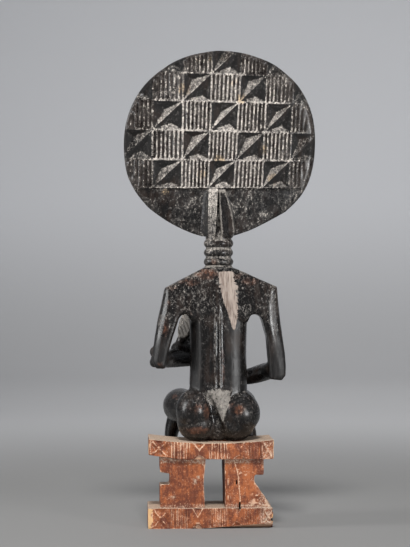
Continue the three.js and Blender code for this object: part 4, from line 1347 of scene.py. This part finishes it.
# Where hands have rubbed through to red-brown wood: middle, reach and how far
rubbedSpots = [
    ((4, 14, 250), (16, 12, 7), 1.0), ((22, 14, 242), (15, 12, 6), 0.85), ((38, 14, 237), (10, 12, 5), 0.6),
    ((-38, 14, 243), (13, 12, 6), 0.8), ((-26, 14, 248), (9, 12, 5), 0.7), ((-2, 14, 262), (5, 9, 6), 0.5),
    ((45.5, 10, 197), (4.5, 14, 14), 0.9), ((50, 8, 160), (6, 12, 6), 0.9), ((42, 12, 222), (4, 10, 5), 0.75),
    ((14, 20, 96), (15, 14, 5), 1.0), ((4, 24, 114), (5, 12, 12), 0.75), ((13, 27, 118), (9, 8, 6), 0.5),
    ((34, -30, 126), (6, 24, 5), 0.75), ((-26, 26, 117), (7, 9, 6), 0.7), ((-19, 24, 121), (5, 8, 8), 0.6),
    ((-11.5, 17, 160), (2.6, 6, 26), 0.7), ((-44, 16, 214), (8, 8, 10), 0.35),
    ((22, 16, 216), (10, 8, 10), 0.35),
    ((-60, 12, 170), (6, 8, 20), 0.35), ((-30, 16, 205), (5, 8, 5), 0.5), ((-9, 4, 470), (46, 14, 5), 0.55),
]

# Where the disc's dust is golden
warmSpots = [((27, 14, 434), (9, 20, 10), 1.0), ((-30, 14, 424), (7, 20, 7), 1.0),
             ((-8, 16, 364), (7, 20, 6), 1.0), ((-51, 14, 374), (7, 20, 6), 0.9),
             ((45, 14, 331), (6, 20, 5), 1.0), ((-5, 8, 464), (42, 20, 7), 0.8),
             ((-62, 12, 345), (8, 20, 8), 0.8), ((-22, 14, 440), (9, 20, 6), 0.6),
             ((10, 16, 350), (6, 20, 7), 0.7)]

# Pale crumbs and dust on the back of the stool
stoolSpots = [((16.4, 26, 46), (3.2, 5, 3.4), 1.0), ((12.4, 26, 50), (2.4, 5, 2.4), 0.9),
              ((38, 26, 30), (6, 5, 2.6), 0.9), ((26, 26, 44), (12, 5, 12), 0.34),
              ((33, 26, 60), (9, 5, 5), 0.4), ((-20, 26, 30), (5, 6, 8), 0.4)]

# The bare streak down from the neck, beside the spine: height, its two sides
paleStreak = [(253.5, -6.3, -22.8), (247, -6.6, -22.6), (240, -7.6, -24.2),
              (232, -9.4, -25.2), (222, -12.0, -26.2), (212, -15.4, -26.6),
              (203, -18.6, -25.2), (194, -20.6, -23.0)]


def neckBand(places):
    x, y, z = places.T
    return smooth(16.5, 15.8, np.hypot(x - neck["x"], y)) * within(z, 253, 257, headLow, 290)


def facetsOf(mesh):
    # Which facets of the chip cuts and of the nape are painted lighter, for dust and as a painted highlight,
    # and which faces are dull
    x, y, z = centresOf(mesh).T
    local = toDisc(centresOf(mesh))
    across, up, out = local.T
    work = carving(across, up)
    raised = (z > headLow) & onNape(local, 0.5)
    chips = (z > headLow) & (out < 5 - backAt(across, up)) & (work["edge"] > 0.5) & ~raised
    outerEdge, facetEdge, cutEdge = (napeEdge(which, up) for which in (0, 1, 2))
    # The strip beside the nape's cut is painted bright as a painted highlight, brightest at its foot
    paintedStrip = raised * (across < facetEdge) * (across > cutEdge) * np.interp(up, *nape["stripHighlight"])
    # Smooth dark flanks of the nape, the trunk and the arms
    outer = raised & (across > facetEdge) & (across < outerEdge)
    left = within(x, 8, 10, 17, 21) * within(z, 128, 140, 206, 218) * smooth(2, 6, y)
    right = within(x, -31, -27, -17, -13) * within(z, 130, 140, 205, 218) * smooth(0, 6, y)
    forearms = smooth(43, 47, np.abs(x + 5)) * within(z, 132, 136, 176, 192) * smooth(-12, -6, y)
    dull = np.maximum.reduce([work["dull"] * chips, outer * 0.8, forearms * 0.6, right * 0.4, left * 0.45])
    return {"facet": np.maximum(work["paleAndHighlight"] * chips, paintedStrip), "dull": dull}


def discPlace():
    return (Matrix.Translation((disc["x"], disc["y"], disc["z"]))
            @ Matrix.Rotation(math.radians(90 - disc["lean"]), 4, "X")
            @ Matrix.Rotation(math.radians(disc["roll"]), 4, "Z"))


def toDisc(places):
    turn = np.array(discPlace().inverted())
    return places @ turn[:3, :3].T + turn[:3, 3]


def spotShare(places, spots):
    total = np.zeros(len(places))
    for middle, reach, strength in spots:
        far = np.linalg.norm((places - middle) / reach, axis=1)
        total = np.maximum(total, strength * smooth(1.25, 0.35, far))
    return total


def figureDust(places, local, hollow, back, raised, plain, shoulders):
    x, y, z = places.T
    across, up, out = local.T
    # On the nape it lies on her left flank, in the cut and along the lines
    flank = 0.24 * smooth(0, 1, napeEdge(0, up) - across) * smooth(0, 1, across - napeEdge(1, up))
    inCut = 0.5 * smooth(-56, -74, up) * (across < napeEdge(2, up) + 0.4) * (across > napeEdge(4, up) - 0.4)
    onLines = 0.75 * napeLines(across, up)
    head = np.where(raised, 0.04 + flank + inCut + onLines, back * (0.06 + 0.16 * hollow))
    apex = raised * smooth(-52, -48, up) * 0.8
    chip = smooth(1.2, 0.7, np.hypot((across + 10.3) / 2.6, (up + 49.5) / 3.6)) * back * 0.7
    # The wedge between the buttocks is pale with dust, and the cleft below it speckled
    ragged = 1.6 * grain(places, 3.2, 51) + 1.2 * grain(places, 7, 52)
    wedgeLeft = np.interp(z, [103, 134], [-9.5, 4.5]) + ragged
    wedgeRight = np.interp(z, [103, 134], [-12.5, -21.0]) + 0.6 * ragged
    inWedge = smooth(-0.8, 0.8, wedgeLeft - x) * smooth(-0.8, 0.8, x - wedgeRight)
    inWedge = inWedge * within(z, 100, 105, 133.5, 137.5) * (0.95 + 0.14 * grain(places, 5, 53))
    beside = smooth(7.5, 0, x - wedgeLeft) * smooth(0, 3, x + 8) * within(z, 112, 124, 132, 138)
    cleft = smooth(12, 5, np.abs(x + 8)) * within(z, 84, 88, 104, 112) * smooth(2, 9, y)
    # Two lines beside the spine, and the child's head
    offSpine = np.abs(np.abs(x - trunk["spine"]) - trunk["ridges"][0][0])
    spine = smooth(1.6, 0.4, offSpine) * within(z, 126, 136, 216, 229) * smooth(10, 14, y)
    fromHead = np.linalg.norm((places - child["head"]) / (17, 12, 19), axis=1)
    return np.maximum.reduce([
        head, apex, chip, hollow * 0.36 * (z > 84) * ~raised,
        np.maximum(inWedge, beside * 0.7) * smooth(10, 15, y), cleft * 0.42, spine * 0.6,
        smooth(1.05, 0.8, fromHead) * 0.85, neckBand(places) * (0.37 + 0.45 * hollow),
        shoulders * (0.34 + 0.18 * grain(places, 12, 54)),
        plain * ~raised * (0.20 + 0.10 * grain(places, 9, 55))])


def stoolDust(places, normals, hollow):
    x, y, z = places.T
    rests = np.maximum(smooth(61.5, 65.5, z), smooth(27, 21.5, z)) * (z < 72) * (z > 20) * (np.abs(y) < 27)
    return np.maximum.reduce([
        smooth(0.3, 0.9, normals[:, 2]), hollow * 0.5, rests * 0.75, 0.16 + 0 * z,
        smooth(-40, -50, x) * smooth(48, 38, z) * 0.7, smooth(-44, -50, x) * smooth(48, 52, z) * 0.6,
        smooth(-24, -34, x) * (z > 68) * 0.42, spotShare(places, stoolSpots)])


def stoolPaintedShade(places, normals):
    # Painted shade, towards near black: on the sides of the slot, a painted shadow line in the crease below
    # the seat, and inside the slits and the worm holes
    x, y, z = places.T
    inside = (np.abs(y) < 25) & (np.abs(normals[:, 0]) > 0.6)
    underSeatShadow = smooth(0.9, 0.1, np.abs(z - seatUnderAt(x) - 0.4)) * (np.abs(y) < 26.6)
    gaps = [inside * 0.35, underSeatShadow * (np.abs(normals[:, 2]) < 0.7) * 0.75]
    for across, low, high, wide in crack["slits"]:
        near = (np.abs(x - across) < wide * 0.5 + 0.05) * (z > low - 0.3) * (z < high + 0.3) * (y > 15)
        gaps.append(near * (y < np.where(z > 20.4, 25.2, 29.2)) * 1.0)
    for centre, radii in wormHoles:
        eaten = np.linalg.norm((places - centre) / (np.array(radii) + 0.12), axis=1) < 1
        gaps.append(eaten * smooth(0, 1.2, centre[1] + 3.4 - y))
    return np.maximum.reduce(gaps)


def stoolWear(places):
    # Bare wood at the corners of both boards, least towards the front
    x, y, z = places.T
    return (0.3 + 0.7 * smooth(16, 27, y)) * np.maximum.reduce([
        smooth(56.0, 60.5, x + 1.6 * grain(places, 4, 41)) * smooth(22, 18, z) * 0.95,
        smooth(-57.5, -60.5, x) * within(z, 3, 7, 12, 17) * 0.85,
        smooth(-59.3, -60.8, x) * smooth(66, 70, z) * 0.6,
        smooth(59.5, 61.5, x) * smooth(66, 74, z) * 0.5])


def bandLines(places, normals):
    # The light lines of the carved bands, dimmer on her right
    x, y, z = places.T
    face = (np.abs(y) > stool["depth"] / 2 - 3.4) * (np.abs(normals[:, 2]) < 0.85)
    low = seatUnderAt(x)
    seatLine = bandWork(x, (z - low) / (seatTopAt(x) - low), seatBands)[1] * (z > 66)
    baseLine = bandWork(x, z / stool["baseHeight"], baseBands)[1] * (z < 20.8) * (z > 0)
    return face * np.maximum(seatLine, baseLine * 0.8) * np.where(x > -18, 1.0, 0.55)


def marksFor(mesh):
    places, normals = placesOf(mesh), normalsOf(mesh)
    x, y, z = places.T
    local = toDisc(places)
    across, up, out = local.T
    bend = bending(mesh, places, normals)
    edge, hollow = smooth(0.05, 0.30, bend), smooth(0.04, 0.28, -bend)
    onStool = (np.abs(y) < 30.4) & (z < seatTopAt(x) + 0.6)
    work = carving(across, up)
    back = (z > headLow) & (out < 0) & (work["edge"] > -1.5)
    raised = (z > headLow) & (up > -97.6) & onNape(local, 0.7)
    plain = back & ~work["carved"]
    shoulders = within(z, 186, 206, 250, 262) * smooth(0, 8, y)
    lowBack = within(z, 84, 90, 130, 152) * smooth(-2, 6, y)

    specks = np.maximum.reduce([plain * 0.95, back * 0.9, shoulders * 0.45, neckBand(places) * 0.7])
    specks = np.maximum.reduce([np.where(raised, 0.25, specks), lowBack * 0.5, 0.2 + 0 * z])
    cluster = np.clip(0.6 + 0.55 * grain(places, 11, 22) + 0.35 * grain(places, 5, 23), 0.05, 1.3)
    wear = (0.34 + 0.5 * smooth(92, 52, np.hypot(across, up - 4))) * (0.95 + 0.25 * grain(places, 24, 21))

    onEnd = smooth(58.0, 60.0, np.abs(x)) * smooth(28.5, 25.5, np.abs(y))
    plainEnd = 1 - 0.85 * onEnd * (normals[:, 2] < 0.8)
    nearSlit = np.maximum.reduce([
        (np.abs(x - at) < 5) * (z > low - 4) * (z < high + 4) * (np.abs(y - 27) < 6)
        for at, low, high, wide in crack["slits"]])
    heights, lefts, rights = np.array(paleStreak)[::-1].T
    leftEdge, rightEdge = np.interp(z, heights, lefts), np.interp(z, heights, rights)
    pale = smooth(-0.8, 2.2, leftEdge - x) * smooth(-0.5, 0.3, x - rightEdge)
    return {
        "ridge": back * ~raised * work["top"], "hatched": back * ~raised * work["hatched"], "wear": wear,
        "warm": spotShare(places, warmSpots), "specks": specks * cluster,
        "dusty": np.where(onStool, stoolDust(places, normals, hollow) * plainEnd,
                          figureDust(places, local, hollow, back, raised, plain, shoulders)),
        "rubbed": np.where(onStool, 0, spotShare(places, rubbedSpots)),
        "edge": np.where(onStool, edge * plainEnd * (1 - nearSlit), edge * np.where(z > headLow, 0.35, 0.5)),
        "pale": pale * within(z, 190, 200, 251, 255) * smooth(6, 12, y),
        "carved": onStool * bandLines(places, normals), "worn": onStool * stoolWear(places) * plainEnd,
        "gap": onStool * stoolPaintedShade(places, normals),
    }


def bending(mesh, places, normals):
    # How far each place stands out from its neighbours, in millimetres, evened over a few steps
    ends = np.zeros(len(mesh.edges) * 2, np.int64)
    mesh.edges.foreach_get("vertices", ends)
    one, other = ends.reshape(-1, 2).T
    count = np.bincount(ends, minlength=len(places))[:, None]
    calm = places.copy()
    for _ in range(4):
        total = np.zeros_like(calm)
        np.add.at(total, one, calm[other])
        np.add.at(total, other, calm[one])
        calm = calm * 0.4 + total / count * 0.6
    return np.sum((places - calm) * normals, axis=1)


# One carving
def carvedPiece():
    whole = combined(figureMesh(), headMesh(), "UNION")
    report("figure and head", whole)
    whole = cleaned(combined(whole, stoolMesh(), "UNION"))
    low, high = (np.array(corner) / millimetre for corner in cadBox)
    setPlaces(whole, np.clip(placesOf(whole), low + 0.02, high - 0.02))
    report("whole carving", whole)
    for marks, domain in ((marksFor(whole), "POINT"), (facetsOf(whole), "FACE")):
        for name, values in marks.items():
            attribute = whole.attributes.new(name, "FLOAT", domain)
            attribute.data.foreach_set("value", np.asarray(values, np.float32))
    whole.materials.clear()
    whole.materials.append(darkFinish)
    whole.materials.append(stoolFinish)
    x, y, z = centresOf(whole).T
    isStool = (np.abs(y) < 30.3) & (z < seatTopAt(x) + 0.4)
    whole.polygons.foreach_set("material_index", isStool.astype(np.int32))
    whole.transform(Matrix.Scale(millimetre, 4))
    whole.shade_smooth()
    whole.set_sharp_from_angle(angle=math.radians(32))
    whole.name = "motherAndChild"
    return placed("motherAndChild", whole)


carvedFigure = carvedPiece()

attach(carvedFigure, "root")
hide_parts("maternity_figure")
print("carving placed")

# The room: a pale sweep, two soft boxes, a soft light overhead
studio = {
    "floorReach": 2.5, "wallReach": 3.7, "wallHeight": 2.2, "roundSides": 96,
    # The floor is painted darker near the figure and lighter far off, and the wall lighter still: painted
    # shade near the figure and painted light further out, evening out the lamps
    "floor": (0.186, 0.184, 0.180), "farFloor": (0.36, 0.36, 0.365), "wall": (0.50, 0.505, 0.52),
    "farFrom": 0.35, "farTo": 1.35, "wallFrom": 0.0, "wallTo": 0.5,
    "world": (0.84, 0.86, 0.90), "worldStrength": 0.36,
    # name, place, aimed at, width, height, watts, spread in degrees
    "lights": [
        ("key", (0.08, 1.09, 1.72), (0, 0.0, 0.17), 0.42, 0.36, 8.0, 75),
        ("leftBox", (1.42, 0.22, 0.57), (0, 0, 0.25), 0.34, 0.90, 14, 180),
        ("rightBox", (-1.00, 1.28, 0.18), (0, 0, 0.2), 0.24, 0.44, 19, 180),
        ("wallWash", (-0.4, -2.1, 2.1), (-0.4, -3.4, 0.5), 2.4, 0.7, 12.3, 110),
        ("floorWash", (-0.4, -1.4, 1.7), (-0.4, -1.45, 0), 1.8, 1.1, 6.0, 90),
    ],
    # The photo's frame is 547 high, and a millimetre at the figure is one step of it
    "cameraFar": 1.8, "cameraTurn": 2.5, "cameraHeight": 0.251, "aim": 0.0054, "lens": 36 * 1800 / 547,
}


def sweepMaterial():
    s = studio
    material = bpy.data.materials.new("paleSweep")
    material.use_nodes = True
    material.node_tree.nodes.clear()
    bench = Bench(material.node_tree)
    place = bench.add("ShaderNodeTexCoord", out=3)
    cloud = bench.add("ShaderNodeTexNoise", {}, {"Vector": place, "Scale": 3.0, "Detail": 3.0})
    height = bench.add("ShaderNodeSeparateXYZ", {}, {0: place}, 2)
    tint = bench.mixed(cloud, *(tuple(c * shade for c in s["floor"]) for shade in (0.98, 1.02)))
    # Painted light: the floor lighter away from the figure, the wall lighter again; near the figure it stays
    # dark as painted shade
    far = bench.add("ShaderNodeVectorMath", {"operation": "LENGTH"}, {0: place}, 1)
    tint = bench.mixed(far.between(s["farFrom"], s["farTo"]), tint, s["farFloor"])
    tint = bench.mixed(height.between(s["wallFrom"], s["wallTo"]), tint, s["wall"])
    skin = bench.add("ShaderNodeBsdfPrincipled", {}, {"Base Color": tint, "Roughness": 0.85})
    bench.add("ShaderNodeOutputMaterial", {}, {"Surface": skin})
    return material


def sweep():
    # A floor that curves up into a round wall
    s = studio
    rise = s["wallReach"] - s["floorReach"]
    profile = [(1.0, 0.0), (s["floorReach"], 0.0)]
    for tilt in np.linspace(0, math.pi / 2, 14)[1:]:
        profile.append((s["floorReach"] + rise * math.sin(tilt), rise * (1 - math.cos(tilt))))
    profile.append((s["wallReach"], s["wallHeight"]))
    sides, points = s["roundSides"], [(0, 0, 0)]
    for reach, height in profile:
        points += [(reach * math.cos(a), reach * math.sin(a), height) for a in spins(sides)]
    faces = [(0, 1 + i, 1 + (i + 1) % sides) for i in range(sides)]
    for ring in range(len(profile) - 1):
        low, high = 1 + ring * sides, 1 + (ring + 1) * sides
        faces += [(low + i, high + i, high + (i + 1) % sides, low + (i + 1) % sides) for i in range(sides)]
    mesh = bpy.data.meshes.new("sweep")
    mesh.from_pydata(points, [], faces)
    mesh.shade_smooth()
    mesh.materials.append(sweepMaterial())
    floor = placed("sweep", mesh)


def lightRoom():
    for name, place, aim, width, height, watts, spread in studio["lights"]:
        lamp = bpy.data.lights.new(name, "AREA")
        lamp.shape, lamp.size, lamp.size_y, lamp.energy = "RECTANGLE", width, height, watts
        lamp.spread = math.radians(spread)
        holder = placed(name, lamp)
        holder.location = place
        holder.rotation_euler = (Vector(aim) - Vector(place)).to_track_quat("-Z", "Y").to_euler()
        holder.visible_camera = False
        holder.visible_glossy = name != "key"   # this one lights softly and leaves no glint
    world = bpy.data.worlds.new("room")
    world.use_nodes = True
    backdrop = world.node_tree.nodes["Background"]
    backdrop.inputs["Color"].default_value = (*studio["world"], 1)
    backdrop.inputs["Strength"].default_value = studio["worldStrength"]
    bpy.context.scene.world = world


def setCamera():
    s = studio
    turn = math.radians(s["cameraTurn"])
    lens = bpy.data.cameras.new("camera")
    lens.lens = s["lens"]
    lens.clip_end = 50
    camera = placed("camera", lens)
    toCamera = Vector((math.sin(turn), math.cos(turn), 0))
    camera.location = Vector((s["aim"], 0, s["cameraHeight"])) + toCamera * s["cameraFar"]
    camera.rotation_euler = (-toCamera).to_track_quat("-Z", "Y").to_euler()
    bpy.context.scene.camera = camera


sweep()
lightRoom()
setCamera()
bpy.context.scene.view_settings.view_transform = "Standard"
print("room lit")
